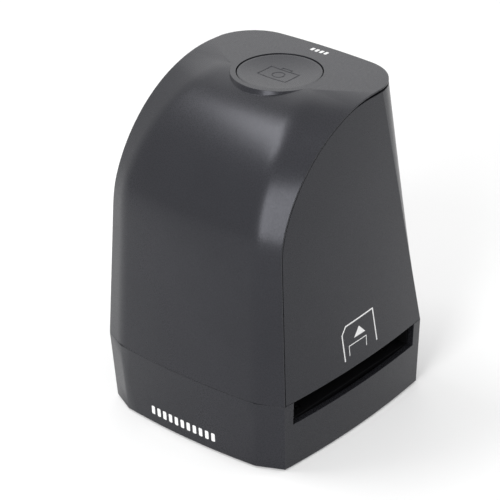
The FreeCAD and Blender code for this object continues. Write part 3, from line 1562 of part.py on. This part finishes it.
controller_chip = subpart(
    chip("Controller", "-controller_x", "controller_y", "controller_wide", "controller_wide"),
    "controller_chip",
)
memory_chip = subpart(
    chip("Memory", "memory_x", "memory_y", "memory_wide", "memory_deep"), "memory_chip"
)
can_z = (USB_LOW, f"{USB_LOW} + crystal_tall")
can_end = "(crystal_long - crystal_wide) / 2"
crystal_can = subpart(
    join(
        "CrystalCan",
        centred_box("CanMiddle", "memory_x", "crystal_y", can_z, f"2 * {can_end}", "crystal_wide"),
        rod("CanEndRight", f"memory_x + {can_end}", "crystal_y", can_z, "crystal_wide / 2"),
        rod("CanEndLeft", f"memory_x - {can_end}", "crystal_y", can_z, "crystal_wide / 2"),
    ),
    "crystal_can",
)
capacitors = subpart(
    group(
        "CapacitorPair",
        *[
            turned(f"Capacitor{i}", x, "capacitor_y", (
                ("0", USB_LOW),
                ("capacitor_radius", USB_LOW),
                ("capacitor_radius", f"{USB_LOW} + capacitor_tall - capacitor_lip"),
                ("capacitor_radius - capacitor_lip", f"{USB_LOW} + capacitor_tall"),
                ("0", f"{USB_LOW} + capacitor_tall"),
            ))
            for i, x in enumerate(("capacitor_x", "-capacitor_x"))
        ],
    ),
    "capacitors",
)

# Socket for the cable, its mouth in the hole of the rear wall
USB_MOUTH = "seam_back_y - usb_inset"
usb_block = box(
    "UsbBlock", ("-usb_wide / 2", "usb_wide / 2"), (f"{USB_MOUTH} - usb_deep", USB_MOUTH),
    (USB_LOW, f"{USB_LOW} + usb_tall"),
)
usb_space = box(
    "UsbSpace",
    ("-usb_wide / 2 + usb_wall", "usb_wide / 2 - usb_wall"),
    (f"{USB_MOUTH} - usb_deep + usb_wall", f"{USB_MOUTH} + overrun"),
    (f"{USB_LOW} + usb_wall", f"{USB_LOW} + usb_tall - usb_wall"),
)
usb_socket = subpart(cut("UsbShell", usb_block, usb_space), "usb_socket")
usb_tongue = subpart(
    box(
        "UsbTongue",
        ("-tongue_wide / 2", "tongue_wide / 2"),
        (f"{USB_MOUTH} - usb_deep + usb_wall", f"{USB_MOUTH} - usb_deep + usb_wall + tongue_deep"),
        (f"{USB_LOW} + usb_tall / 2", f"{USB_LOW} + usb_tall / 2 + tongue_thick"),
    ),
    "usb_tongue",
)


# Ribbon and leads


def route(name, points, bend):
    """A path through the points with its corners rounded to the bend radius."""
    stops = [Vector(*[mm(part) for part in point]) for point in points]
    radius = mm(bend)
    edges = []
    start = stops[0]
    for before, corner, after in zip(stops, stops[1:], stops[2:]):
        coming = (corner - before).normalize()
        going = (after - corner).normalize()
        first = corner - coming * radius
        last = corner + going * radius
        middle = corner + (going - coming) * radius * (1 - 1 / math.sqrt(2))
        edges.append(Part.makeLine(start, first))
        edges.append(Part.Arc(first, middle, last).toShape())
        start = last
    edges.append(Part.makeLine(start, stops[-1]))
    return shaped(name, Part.Wire(edges))


def swept(name, section, path):
    """A solid that a section makes along a path."""
    sweep = doc.addObject("Part::Sweep", name)
    sweep.Sections = [section]
    sweep.Spine = (path, [])
    sweep.Solid = True
    sweep.Frenet = True
    return sweep


def lead(name, points, turn):
    """A round bundle of wires through the points; turn sets its first end across the path."""
    section = doc.addObject("Part::Circle", name + "_section")
    section.Placement = Placement(Vector(), Rotation(Vector(1, 0, 0), turn))
    bind(section, Radius="lead_radius")
    place(section, *points[0])
    return swept(name, section, route(name + "_path", points, "lead_bend"))


header_z = {
    "Main": ("main_header_y", USB_LOW),
    "Sensor": ("sensor_header_y", SENSOR_BOARD_TOP),
}
headers = [
    centred_box(name + "Header", "0", y, (low, f"{low} + header_tall"), "header_wide", "header_deep")
    for name, (y, low) in header_z.items()
]
ribbon_connectors = subpart(group("Headers", *headers), "ribbon_connectors")
RIBBON_HIGH = f"{SENSOR_BOARD_TOP} + header_tall + ribbon_rise"
ribbon_section = doc.addObject("Part::Plane", "RibbonSection")
bind(ribbon_section, Length="ribbon_wide", Width="ribbon_thick")
place(ribbon_section, "-ribbon_wide / 2", "sensor_header_y - ribbon_thick / 2",
      f"{SENSOR_BOARD_TOP} + header_tall")
ribbon_path = route(
    "RibbonPath",
    (
        ("0", "sensor_header_y", f"{SENSOR_BOARD_TOP} + header_tall"),
        ("0", "sensor_header_y", RIBBON_HIGH),
        ("0", "main_header_y", RIBBON_HIGH),
        ("0", "main_header_y", f"{USB_LOW} + header_tall"),
    ),
    "ribbon_bend",
)
ribbon_cable = subpart(swept("Ribbon", ribbon_section, ribbon_path), "ribbon_cable")

SWITCH_BOARD_LOW = f"{SWITCH_BOARD_TOP} - switch_board_thick"
LED_LEAD_Z = f"{LED_BOARD_TOP} + plug_tall / 2"
plug_places = (
    (LEAD_X, "led_plug_y", LED_BOARD_TOP),
    ("main_plug_x", "lead_y", USB_LOW),
    ("switch_plug_x", "button_y", f"{SWITCH_BOARD_LOW} - plug_tall"),
    ("switch_plug_x", "sensor_plug_y", SENSOR_BOARD_TOP),
)
plugs = [
    centred_box(f"Plug{i}", x, y, (low, f"{low} + plug_tall"), "plug_deep", "plug_wide")
    for i, (x, y, low) in enumerate(plug_places)
]
lead_connectors = subpart(group("Plugs", *plugs), "lead_connectors")
switch_bend_z = f"({SWITCH_BOARD_LOW} + {SENSOR_BOARD_TOP}) / 2"
switch_lead = subpart(
    lead(
        "SwitchLead",
        (
            ("switch_plug_x", "button_y", f"{SWITCH_BOARD_LOW} - plug_tall"),
            ("switch_plug_x", "button_y", switch_bend_z),
            ("switch_plug_x", "sensor_plug_y", switch_bend_z),
            ("switch_plug_x", "sensor_plug_y", f"{SENSOR_BOARD_TOP} + plug_tall"),
        ),
        0,
    ),
    "switch_lead",
)
led_lead = subpart(
    lead(
        "LampLead",
        (
            (LEAD_X, "led_plug_y + plug_wide / 2", LED_LEAD_Z),
            (LEAD_X, "lead_y", LED_LEAD_Z),
            (LEAD_X, "lead_y", f"{USB_LOW} + plug_tall + lead_top"),
            ("main_plug_x", "lead_y", f"{USB_LOW} + plug_tall + lead_top"),
            ("main_plug_x", "lead_y", f"{USB_LOW} + plug_tall"),
        ),
        -90,
    ),
    "led_lead",
)

# Feet
feet = [
    turned(f"Foot{i}", x, y, (
        ("0", "0"),
        ("foot_radius - foot_edge", "0"),
        ("foot_radius", "foot_edge"),
        ("foot_radius", FOOT_TOP),
        ("0", FOOT_TOP),
    ))
    for i, (x, y) in enumerate(FOOT_POINTS)
]
rubber_feet = subpart(group("Feet", *feet), "rubber_feet")

doc.recompute()
broken = [thing.Name for thing in doc.Objects if {"Invalid", "Error"} & set(thing.State)]
if broken:
    raise SystemExit(f"failed objects: {broken}")
for thing in SUBPARTS:
    if thing.Shape.isNull() or not thing.Shape.isValid():
        raise SystemExit(f"bad shape: {thing.Label}")
os.makedirs("parts", exist_ok=True)
for thing in SUBPARTS:
    thing.Shape.exportStep(f"parts/{thing.Label}.step")
    print(thing.Label, len(thing.Shape.Solids), round(thing.Shape.Volume, 1))
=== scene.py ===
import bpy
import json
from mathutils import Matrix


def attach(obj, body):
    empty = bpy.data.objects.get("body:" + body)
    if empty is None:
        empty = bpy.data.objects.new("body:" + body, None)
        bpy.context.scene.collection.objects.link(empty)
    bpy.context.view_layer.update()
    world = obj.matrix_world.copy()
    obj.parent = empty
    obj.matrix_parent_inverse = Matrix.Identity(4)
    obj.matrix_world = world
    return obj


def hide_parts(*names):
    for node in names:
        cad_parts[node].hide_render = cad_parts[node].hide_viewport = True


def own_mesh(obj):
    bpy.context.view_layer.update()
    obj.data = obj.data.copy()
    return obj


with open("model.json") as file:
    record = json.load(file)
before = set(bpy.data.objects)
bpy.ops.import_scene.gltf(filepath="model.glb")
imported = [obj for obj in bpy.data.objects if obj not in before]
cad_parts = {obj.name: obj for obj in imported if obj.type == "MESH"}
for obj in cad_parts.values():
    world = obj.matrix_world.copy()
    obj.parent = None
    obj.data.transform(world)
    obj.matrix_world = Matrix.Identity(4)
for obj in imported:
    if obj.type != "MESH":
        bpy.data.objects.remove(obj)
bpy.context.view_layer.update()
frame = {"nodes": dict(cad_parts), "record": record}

import json
import math

import bmesh
import bpy
from mathutils import Matrix, Vector
from mathutils.bvhtree import BVHTree

MM = 0.001
nodes = frame["nodes"]
scene = bpy.context.scene
scene.view_settings.view_transform = "Standard"

# Camera at the photograph's place: angles in degrees, lengths in millimetres
CAMERA_AZIMUTH = 40.166
CAMERA_ELEVATION = 28.414
CAMERA_ROLL = -0.522
CAMERA_TARGET = (0, 0, 50.8)
CAMERA_DISTANCE = 882.274
CAMERA_ACROSS = -6.125
CAMERA_UP = 9.514
SENSOR_WIDTH = 36
FOCAL_LENGTH = 167.418
CLIP_START = 0.01


def place_camera():
    azimuth = math.radians(CAMERA_AZIMUTH)
    elevation = math.radians(CAMERA_ELEVATION)
    roll = math.radians(CAMERA_ROLL)
    back = Vector((
        math.sin(azimuth) * math.cos(elevation),
        -math.cos(azimuth) * math.cos(elevation),
        math.sin(elevation),
    ))
    right = Vector((math.cos(azimuth), math.sin(azimuth), 0))
    up = back.cross(right)
    across = right * math.cos(roll) + up * math.sin(roll)
    upright = up * math.cos(roll) - right * math.sin(roll)
    eye = (
        Vector(CAMERA_TARGET) + back * CAMERA_DISTANCE
        + across * CAMERA_ACROSS + upright * CAMERA_UP
    )
    data = bpy.data.cameras.new("Camera")
    data.sensor_width = SENSOR_WIDTH
    data.lens = FOCAL_LENGTH
    data.clip_start = CLIP_START
    camera = bpy.data.objects.new("Camera", data)
    turn = Matrix((across, upright, back)).transposed()
    camera.matrix_world = Matrix.Translation(eye * MM) @ turn.to_4x4()
    scene.collection.objects.link(camera)
    scene.camera = camera


# Noise scales, in waves a metre
CLOUD_SCALE = 28
FLOW_SCALE = 700
SPARK_SCALE = 2600

# How far the normal turns, as a cosine, from a fully rubbed edge to none; the lightened edge is
# part wear and part painted highlight
RUBBED_AND_LIT, UNRUBBED_AND_UNLIT = 0.80, 0.97
# How open a place is, from a fully matt groove to none, and the roughness it adds
GROOVE_SHUT, GROOVE_OPEN = 0.60, 0.92
GROOVE_ROUGHNESS = 0.45


class Shader:
    """Nodes of one material round a Principled shader."""

    def __init__(self, name, **values):
        self.material = bpy.data.materials.new(name)
        self.material.use_nodes = True
        self.tree = self.material.node_tree
        self.bsdf = self.tree.nodes["Principled BSDF"]
        self.place = self.add("ShaderNodeTexCoord").outputs["Object"]
        for key, value in values.items():
            self.bsdf.inputs[key.replace("_", " ")].default_value = value

    def add(self, kind, **settings):
        node = self.tree.nodes.new(kind)
        for key, value in settings.items():
            setattr(node, key, value)
        return node

    def link(self, source, target):
        self.tree.links.new(source, target)

    def noise(self, scale, detail=3.0, rough=0.55, stretch=None):
        source = self.place
        if stretch:
            mapping = self.add("ShaderNodeMapping")
            mapping.inputs["Scale"].default_value = stretch
            self.link(source, mapping.inputs["Vector"])
            source = mapping.outputs["Vector"]
        node = self.add("ShaderNodeTexNoise")
        node.inputs["Scale"].default_value = scale
        node.inputs["Detail"].default_value = detail
        node.inputs["Roughness"].default_value = rough
        self.link(source, node.inputs["Vector"])
        return node.outputs["Fac"]

    def span(self, source, low, high, start=0.3, end=0.7):
        """A value mapped from start..end to low..high, and held there."""
        node = self.add("ShaderNodeMapRange")
        node.inputs["From Min"].default_value = start
        node.inputs["From Max"].default_value = end
        node.inputs["To Min"].default_value = low
        node.inputs["To Max"].default_value = high
        self.link(source, node.inputs["Value"])
        return node.outputs["Result"]

    def blend(self, factor, first, second):
        """A mix of two colours, each a tuple or a socket."""
        node = self.add("ShaderNodeMix", data_type="RGBA")
        self.link(factor, node.inputs["Factor"])
        for name, value in (("A", first), ("B", second)):
            socket = next(i for i in node.inputs if i.name == name and i.type == "RGBA")
            if isinstance(value, tuple):
                socket.default_value = (*value, 1)
            else:
                self.link(value, socket)
        return next(o for o in node.outputs if o.type == "RGBA")

    def color(self, source):
        self.link(source, self.bsdf.inputs["Base Color"])
        return self

    def rough(self, source):
        self.link(source, self.bsdf.inputs["Roughness"])
        return self

    def rounding(self, radius, samples):
        """The normal as it would be with edges rounded to a radius."""
        bevel = self.add("ShaderNodeBevel", samples=samples)
        bevel.inputs["Radius"].default_value = radius
        return bevel.outputs["Normal"]

    def bump(self, *layers, edge=0.0):
        """Bump from (height, distance in metres) layers, over softened edges if asked."""
        normal = self.rounding(edge, 6) if edge else None
        for height, distance in layers:
            node = self.add("ShaderNodeBump")
            node.inputs["Distance"].default_value = distance
            self.link(height, node.inputs["Height"])
            if normal is not None:
                self.link(normal, node.inputs["Normal"])
            normal = node.outputs["Normal"]
        self.link(normal, self.bsdf.inputs["Normal"])
        return self

    def rubbed_and_lit_edges(self, reach):
        """1 at a rubbed edge and 0 away from it, from how far the normal turns within a reach; it
        marks where edges are lightened, partly as wear and partly as a painted highlight.
        """
        turn = self.add("ShaderNodeVectorMath", operation="DOT_PRODUCT")
        self.link(self.rounding(reach, 4), turn.inputs[0])
        self.link(self.add("ShaderNodeNewGeometry").outputs["Normal"], turn.inputs[1])
        return self.span(turn.outputs["Value"], 1, 0, RUBBED_AND_LIT, UNRUBBED_AND_UNLIT)

    def matt_grooves(self, roughness, reach):
        """A roughness that rises where walls within a reach shut off the open side."""
        shut = self.add("ShaderNodeAmbientOcclusion", samples=8)
        shut.inputs["Distance"].default_value = reach
        added = self.span(shut.outputs["AO"], GROOVE_ROUGHNESS, 0, GROOVE_SHUT, GROOVE_OPEN)
        total = self.add("ShaderNodeMath", operation="ADD")
        self.link(roughness, total.inputs[0])
        self.link(added, total.inputs[1])
        return total.outputs[0]


def moulded(name, dark, light, rough=0.27, gloss=0.32, groove=0):
    """Satin moulded plastic with spark-eroded grain, flow marks, and rubbed edges lightened
    partly as wear and partly as a painted highlight.
    """
    grain, edge = 0.0000020, 0.00022
    shader = Shader(name, Specular_IOR_Level=gloss, Specular_Tint=(0.90, 0.91, 1.0, 1))
    cloud = shader.noise(CLOUD_SCALE, 4)
    fine = shader.noise(SPARK_SCALE, 2, 0.6)
    base = shader.blend(shader.span(cloud, 0, 1), dark, light)
    # Lighter edges: partly wear, partly a painted highlight along the rounded edges
    worn_and_lit = tuple(min(1, c * 1.5 + 0.01) for c in light)
    shader.color(shader.blend(shader.rubbed_and_lit_edges(edge * 1.5), base, worn_and_lit))
    gleam = shader.span(fine, rough - 0.05, rough + 0.07)
    shader.rough(shader.matt_grooves(gleam, groove) if groove else gleam)
    flow = shader.noise(FLOW_SCALE, 2)
    return shader.bump((fine, grain), (flow, grain * 1.5), edge=edge).material


def printed(name):
    """White screen print: an even ink film with a fine unevenness of colour."""
    shader = Shader(name)
    fine = shader.noise(2200, 3)
    cover = shader.span(fine, 0, 1, 0.25, 0.5)
    shader.color(shader.blend(cover, (0.66, 0.66, 0.66), (0.86, 0.86, 0.86)))
    return shader.rough(shader.span(fine, 0.45, 0.6)).bump((fine, 0.000006)).material


def clear(name, tint, ior):
    """Clear glass with a slight unevenness of tint."""
    shader = Shader(name, Transmission_Weight=1.0, IOR=ior, Coat_Weight=0.4)
    edge = tuple(c * 0.9 for c in tint)
    shader.color(shader.blend(shader.noise(80), edge, tint))
    return shader.rough(shader.span(shader.noise(300), 0.02, 0.06)).material


def metal(name, dark, light, rough, stretch):
    """Metal with fine drawn lines along one way."""
    shader = Shader(name, Metallic=1.0)
    lines = shader.noise(8, 4, 0.6, stretch)
    shader.color(shader.blend(shader.span(lines, 0, 1), dark, light))
    shader.rough(shader.span(lines, rough - 0.06, rough + 0.1))
    return shader.bump((lines, 0.000008), edge=0.0001).material


def diffuser():
    shader = Shader("diffuser", Transmission_Weight=0.25, IOR=1.49)
    fine = shader.noise(1500, 2)
    cloud = shader.span(shader.noise(60), 0, 1)
    shader.color(shader.blend(cloud, (0.82, 0.82, 0.8), (0.9, 0.9, 0.88)))
    return shader.rough(shader.span(fine, 0.5, 0.7)).bump((fine, 0.00001)).material


def circuit_board():
    """Green lacquer over copper tracks."""
    shader = Shader("circuit_board", Coat_Weight=0.3)
    tracks = shader.add("ShaderNodeTexBrick", offset=0.37, squash=1.6)
    tracks.inputs["Scale"].default_value = 260
    tracks.inputs["Mortar Size"].default_value = 0.012
    tracks.inputs["Color1"].default_value = (0.012, 0.10, 0.04, 1)
    tracks.inputs["Color2"].default_value = (0.016, 0.13, 0.05, 1)
    tracks.inputs["Mortar"].default_value = (0.03, 0.22, 0.09, 1)
    shader.link(shader.place, tracks.inputs["Vector"])
    shader.color(tracks.outputs["Color"]).rough(shader.span(shader.noise(90), 0.3, 0.45))
    return shader.bump((tracks.outputs["Fac"], 0.00003)).material


def chip_black():
    shader = Shader("chip_black")
    fine = shader.noise(1800)
    shader.color(shader.blend(fine, (0.012, 0.012, 0.013), (0.03, 0.03, 0.031)))
    return shader.rough(shader.span(fine, 0.45, 0.6)).bump((fine, 0.00001)).material


def lamp_phosphor():
    shader = Shader("lamp", Emission_Strength=0.25, Emission_Color=(1, 0.96, 0.8, 1))
    shader.color(shader.blend(shader.noise(900), (0.75, 0.72, 0.45), (0.88, 0.86, 0.7)))
    return shader.rough(shader.span(shader.noise(300), 0.15, 0.3)).material


def sensor_glass():
    shader = Shader("sensor_glass", Coat_Weight=0.6, Coat_Roughness=0.05)
    shader.color(shader.blend(shader.noise(250), (0.03, 0.035, 0.05), (0.06, 0.05, 0.075)))
    return shader.rough(shader.span(shader.noise(400), 0.2, 0.3)).material


def ribbon():
    """Flat cable, with a rib for each of its wires."""
    shader = Shader("ribbon")
    wave = shader.add("ShaderNodeTexWave", bands_direction="X")
    wave.inputs["Scale"].default_value = 314
    shader.link(shader.place, wave.inputs["Vector"])
    ribs = wave.outputs["Fac"]
    # The colour darkens from the rib crests into the troughs between them: painted shade
    shader.color(shader.blend(ribs, (0.62, 0.62, 0.6), (0.75, 0.75, 0.73)))
    return shader.rough(shader.span(shader.noise(200), 0.4, 0.5)).bump((ribs, 0.00008)).material


def lead():
    shader = Shader("lead")
    shader.color(shader.blend(shader.noise(120), (0.16, 0.012, 0.012), (0.24, 0.02, 0.018)))
    shader.rough(shader.span(shader.noise(900), 0.35, 0.5))
    return shader.bump((shader.noise(500), 0.00003)).material


def foot_rubber():
    shader = Shader("foot_rubber", Specular_IOR_Level=0.3)
    fine = shader.noise(1600, 4)
    shader.color(shader.blend(fine, (0.010, 0.010, 0.010), (0.022, 0.022, 0.022)))
    return shader.rough(shader.span(fine, 0.7, 0.85)).bump((fine, 0.00003)).material


def make_materials():
    """Each of the record's material slots, the looks of some nodes and the print."""
    return {
        "case_plastic": moulded(
            "case_plastic", (0.0120, 0.0123, 0.0146), (0.0150, 0.0154, 0.0182)
        ),
        "button": moulded(
            "button_plastic", (0.0130, 0.0133, 0.0158), (0.0162, 0.0166, 0.0196), groove=0.0003
        ),
        # Black plastic darker than its own colour: partly its black, partly painted shade for the
        # dark inside the slot
        "black_plastic": moulded(
            "black_plastic", (0.0020, 0.0020, 0.0024), (0.0045, 0.0045, 0.0050), 0.6, 0.12
        ),
        "white_plastic": moulded("white_plastic", (0.70, 0.70, 0.67), (0.80, 0.80, 0.77), 0.5),
        "print": printed("white_print"),
        "diffuser": diffuser(),
        "circuit_board": circuit_board(),
        "chip_black": chip_black(),
        "lamp": lamp_phosphor(),
        "sensor_glass": sensor_glass(),
        "filter_glass": clear("filter_glass", (0.55, 0.80, 0.88), 1.52),
        "lens_glass": clear("lens_glass", (0.94, 0.96, 0.98), 1.6),
        "plated_metal": metal(
            "plated_metal", (0.58, 0.58, 0.56), (0.66, 0.66, 0.63), 0.28, (60, 600, 60)
        ),
        "steel": metal("steel", (0.42, 0.42, 0.43), (0.55, 0.55, 0.56), 0.33, (300, 300, 40)),
        "blackened": metal(
            "blackened_steel", (0.030, 0.030, 0.033), (0.055, 0.055, 0.060), 0.42, (300, 300, 40)
        ),
        "ribbon": ribbon(),
        "lead": lead(),
        "foot_rubber": foot_rubber(),
    }


# Nodes with another look than their material slot's
NODE_LOOKS = {
    "copy_button": "button",
    "channel_screws": "blackened",
    "film_detent": "blackened",
}


def dress(materials):
    slots = {part["node"]: part["material_slot"] for part in frame["record"]["subparts"]}
    for name, thing in nodes.items():
        thing.data.materials.clear()
        thing.data.materials.append(materials[NODE_LOOKS.get(name, slots[name])])


# Smoothing of the CAD nodes
WELD_DISTANCE = 0.000002
SHARP_ANGLE = math.radians(20)
LEVEL_NORMAL = 0.99998


def smoothing():
    """Join split corners and shade smooth, but keep real edges and the rim of level faces."""
    group = bpy.data.node_groups.new("smoothing", "GeometryNodeTree")
    group.interface.new_socket("Geometry", in_out="INPUT", socket_type="NodeSocketGeometry")
    group.interface.new_socket("Geometry", in_out="OUTPUT", socket_type="NodeSocketGeometry")
    make = group.nodes.new
    join = group.links.new
    start, end = make("NodeGroupInput"), make("NodeGroupOutput")
    weld = make("GeometryNodeMergeByDistance")
    weld.inputs["Distance"].default_value = WELD_DISTANCE
    drop = make("GeometryNodeRemoveAttribute")
    drop.inputs["Name"].default_value = "custom_normal"
    faces = make("GeometryNodeSetShadeSmooth")
    faces.domain = "FACE"
    edges = make("GeometryNodeSetShadeSmooth")
    edges.domain = "EDGE"
    edges.inputs["Shade Smooth"].default_value = False

    angle = make("GeometryNodeInputMeshEdgeAngle")
    folded = make("FunctionNodeCompare")
    folded.inputs[1].default_value = SHARP_ANGLE
    join(angle.outputs["Unsigned Angle"], folded.inputs[0])

    # On an edge a face value is the mean of its faces, so a half is a level face's rim
    upright = make("ShaderNodeSeparateXYZ")
    join(make("GeometryNodeInputNormal").outputs["Normal"], upright.inputs[0])
    level = make("ShaderNodeMath")
    level.operation = "GREATER_THAN"
    level.inputs[1].default_value = LEVEL_NORMAL
    join(upright.outputs["Z"], level.inputs[0])
    shared = make("GeometryNodeFieldOnDomain")
    shared.domain = "FACE"
    join(level.outputs[0], shared.inputs[0])
    rim = make("ShaderNodeMath")
    rim.operation = "COMPARE"
    rim.inputs[1].default_value = 0.5
    rim.inputs[2].default_value = 0.1
    join(shared.outputs[0], rim.inputs[0])

    either = make("FunctionNodeBooleanMath")
    either.operation = "OR"
    join(folded.outputs["Result"], either.inputs[0])
    join(rim.outputs[0], either.inputs[1])
    join(either.outputs[0], edges.inputs["Selection"])
    chain = [start, weld, drop, faces, edges, end]
    for first, second in zip(chain, chain[1:]):
        join(first.outputs[0], second.inputs[0])
    return group


def smooth_nodes(group):
    for thing in nodes.values():
        thing.modifiers.new("smoothing", "NODES").node_group = group


def shorten_spring(node, group):
    """A copy of a spring, hung on the housing in place of the spring node, which is hidden."""
    coil = bpy.data.objects.new(node + "_coil", nodes[node].data.copy())
    scene.collection.objects.link(coil)
    coil.modifiers.new("smoothing", "NODES").node_group = group
    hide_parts(node)
    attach(coil, "housing")
    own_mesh(coil)


# Printed marks, laid on the casing as thin films
FILM = 0.00004
CUT = 0.0006
RAY_START = 0.2
PLANES = {  # the ways across, up and out of each plane
    "side": ((0, 1, 0), (0, 0, 1), (1, 0, 0)),
    "front": ((1, 0, 0), (0, 0, 1), (0, -1, 0)),
    "top": ((1, 0, 0), (0, 1, 0), (0, 0, 1)),
}


def surface_of(name):
    mesh = nodes[name].data
    points = [v.co.copy() for v in mesh.vertices]
    return BVHTree.FromPolygons(points, [tuple(p.vertices) for p in mesh.polygons])


def lay(name, shapes, plane, carrier, body, material):
    """Flat shapes, given as polygons in millimetres, cut fine and laid on a surface."""
    tree = surface_of(carrier)
    across, up, out = (Vector(way) for way in PLANES[plane])
    mesh = bmesh.new()
    for shape in shapes:
        mesh.faces.new([mesh.verts.new(across * p[0] * MM + up * p[1] * MM) for p in shape])
    low = [min(v.co[i] for v in mesh.verts) for i in range(3)]
    high = [max(v.co[i] for v in mesh.verts) for i in range(3)]
    for axis in (across, up):
        index = max(range(3), key=lambda i: abs(axis[i]))
        count = int((high[index] - low[index]) / CUT)
        for line in range(1, count):
            spot = Vector((0, 0, 0))
            spot[index] = low[index] + line * CUT
            everything = mesh.verts[:] + mesh.edges[:] + mesh.faces[:]
            bmesh.ops.bisect_plane(mesh, geom=everything, plane_co=spot, plane_no=axis)
    for vertex in mesh.verts:
        hit = tree.ray_cast(vertex.co + out * RAY_START, -out)
        vertex.co = hit[0] + out * FILM
    bmesh.ops.recalc_face_normals(mesh, faces=mesh.faces[:])
    data = bpy.data.meshes.new(name)
    mesh.to_mesh(data)
    mesh.free()
    thing = bpy.data.objects.new(name, data)
    scene.collection.objects.link(thing)
    data.materials.append(material)
    if sum(p.normal.dot(out) for p in data.polygons) < 0:
        data.flip_normals()
    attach(thing, body)


def stroke(points, width):
    """Quads along a line of points, mitred where it turns."""
    spots = [Vector(p) for p in points]
    ways = [(b - a).normalized() for a, b in zip(spots, spots[1:])]
    sides = []
    for index, here in enumerate(spots):
        normals = [Vector((-w.y, w.x)) for w in ways[max(0, index - 1):index + 1]]
        mitre = sum(normals, Vector((0, 0))).normalized()
        reach = width / 2 / mitre.dot(normals[0])
        sides.append((here + mitre * reach, here - mitre * reach))
    return [[a[0], a[1], b[1], b[0]] for a, b in zip(sides, sides[1:])]


def rounded(x, y, wide, tall, radius, steps=4):
    """A rounded rectangle about a point."""
    ring = []
    for turn, (sx, sy) in enumerate(((1, -1), (1, 1), (-1, 1), (-1, -1))):
        cx = x + sx * (wide / 2 - radius)
        cy = y + sy * (tall / 2 - radius)
        for step in range(steps + 1):
            angle = math.radians(turn * 90 - 90 + 90 * step / steps)
            ring.append((cx + radius * math.cos(angle), cy + radius * math.sin(angle)))
    return ring


def print_marks(material):
    """The pictogram beside the slot, and plain bars where the photo has words."""
    lift = 0.8
    outer = [(11.0, 33.2), (8.9, 47.5), (-7.5, 46.9), (-9.7, 44.0), (-8.3, 32.5)]
    inner = [(4.5, 33.9), (4.5, 38.1), (-5.8, 38.0), (-5.6, 33.9)]
    outer, inner = ([(y, z + lift) for y, z in line] for line in (outer, inner))
    triangle = [(0.3, 44.0 + lift), (-2.8, 40.2 + lift), (4.0, 40.2 + lift)]
    shapes = stroke(outer, 0.62) + [triangle] + stroke(inner, 0.36)
    lay("insert_mark", shapes, "side", "body_shell", "housing", material)
    bars = [rounded(-17.2 + 3.0 * i, 5.6 + lift, 1.7, 3.6, 0.45) for i in range(11)]
    lay("front_mark", bars, "front", "base_tray", "housing", material)
    bars = [rounded(-2.9 + 2.1 * i, 31.4, 1.3, 2.3, 0.35) for i in range(4)]
    lay("button_mark", bars, "top", "front_hood", "housing", material)


# Floor, world and lamps
FLOOR_REACH = 3.0
FLOOR_COLOR = (0.80, 0.80, 0.80, 1)
FLOOR_LIFT = 0.18
SKY_LEVEL = 0.55
CENTRE = Vector((0, 0, 0.07))
LAMPS = (  # name, azimuth and elevation in degrees, distance, size, level
    ("overhead", -62, 63, 1.1, (0.56, 0.28), 9),
    ("strip", 14, 24, 1.6, (0.56, 1.30), 7.6),
    ("right", 118, 48, 1.3, (0.9, 0.9), 1.1),
    ("behind", -138, 36, 1.3, (0.9, 0.8), 0.6),
)


def background_rays(tree):
    """1 for rays from the camera, and for those in gloss and in glass."""
    path = tree.nodes.new("ShaderNodeLightPath")
    seen = path.outputs["Is Camera Ray"]
    for name in ("Is Glossy Ray", "Is Transmission Ray"):
        widest = tree.nodes.new("ShaderNodeMath")
        widest.operation = "MAXIMUM"
        tree.links.new(seen, widest.inputs[0])
        tree.links.new(path.outputs[name], widest.inputs[1])
        seen = widest.outputs[0]
    return seen


def add_floor():
    """A pale floor that lifts to white for the background and keeps the shadow."""
    mesh = bmesh.new()
    bmesh.ops.create_grid(mesh, x_segments=8, y_segments=8, size=FLOOR_REACH)
    data = bpy.data.meshes.new("floor")
    mesh.to_mesh(data)
    mesh.free()
    floor = bpy.data.objects.new("floor", data)
    scene.collection.objects.link(floor)
    shader = Shader("floor", Roughness=0.9, Specular_IOR_Level=0.1)
    shader.bsdf.inputs["Base Color"].default_value = FLOOR_COLOR
    shader.bsdf.inputs["Emission Color"].default_value = (1, 1, 1, 1)
    lift = shader.span(background_rays(shader.tree), 0, FLOOR_LIFT, 0, 1)
    shader.link(lift, shader.bsdf.inputs["Emission Strength"])
    data.materials.append(shader.material)


def add_world():
    """White to the camera and in gloss and glass, and a dimmer sky on the surfaces."""
    world = bpy.data.worlds.new("studio")
    scene.world = world
    world.use_nodes = True
    tree = world.node_tree
    back = tree.nodes["Background"]
    back.inputs["Color"].default_value = (1, 1, 1, 1)
    level = tree.nodes.new("ShaderNodeMapRange")
    level.inputs["To Min"].default_value = SKY_LEVEL
    level.inputs["To Max"].default_value = 1.0
    tree.links.new(background_rays(tree), level.inputs["Value"])
    tree.links.new(level.outputs["Result"], back.inputs["Strength"])


def add_lamp(name, azimuth, elevation, distance, size, level):
    """A soft box of a plain brightness, seen from the object at two angles."""
    turn, rise = math.radians(azimuth), math.radians(elevation)
    way = Vector((
        math.sin(turn) * math.cos(rise),
        -math.cos(turn) * math.cos(rise),
        math.sin(rise),
    ))
    data = bpy.data.lights.new(name, "AREA")
    data.shape = "RECTANGLE"
    data.size, data.size_y = size
    data.energy = level * math.pi * size[0] * size[1]
    lamp = bpy.data.objects.new(name, data)
    lamp.location = CENTRE + way * distance
    lamp.rotation_euler = (-way).to_track_quat("-Z", "Y").to_euler()
    lamp.visible_camera = False
    scene.collection.objects.link(lamp)


place_camera()
materials = make_materials()
dress(materials)
smoothing_group = smoothing()
smooth_nodes(smoothing_group)
shorten_spring("button_spring", smoothing_group)
shorten_spring("detent_spring", smoothing_group)
print_marks(materials["print"])
add_floor()
add_world()
for lamp in LAMPS:
    add_lamp(*lamp)
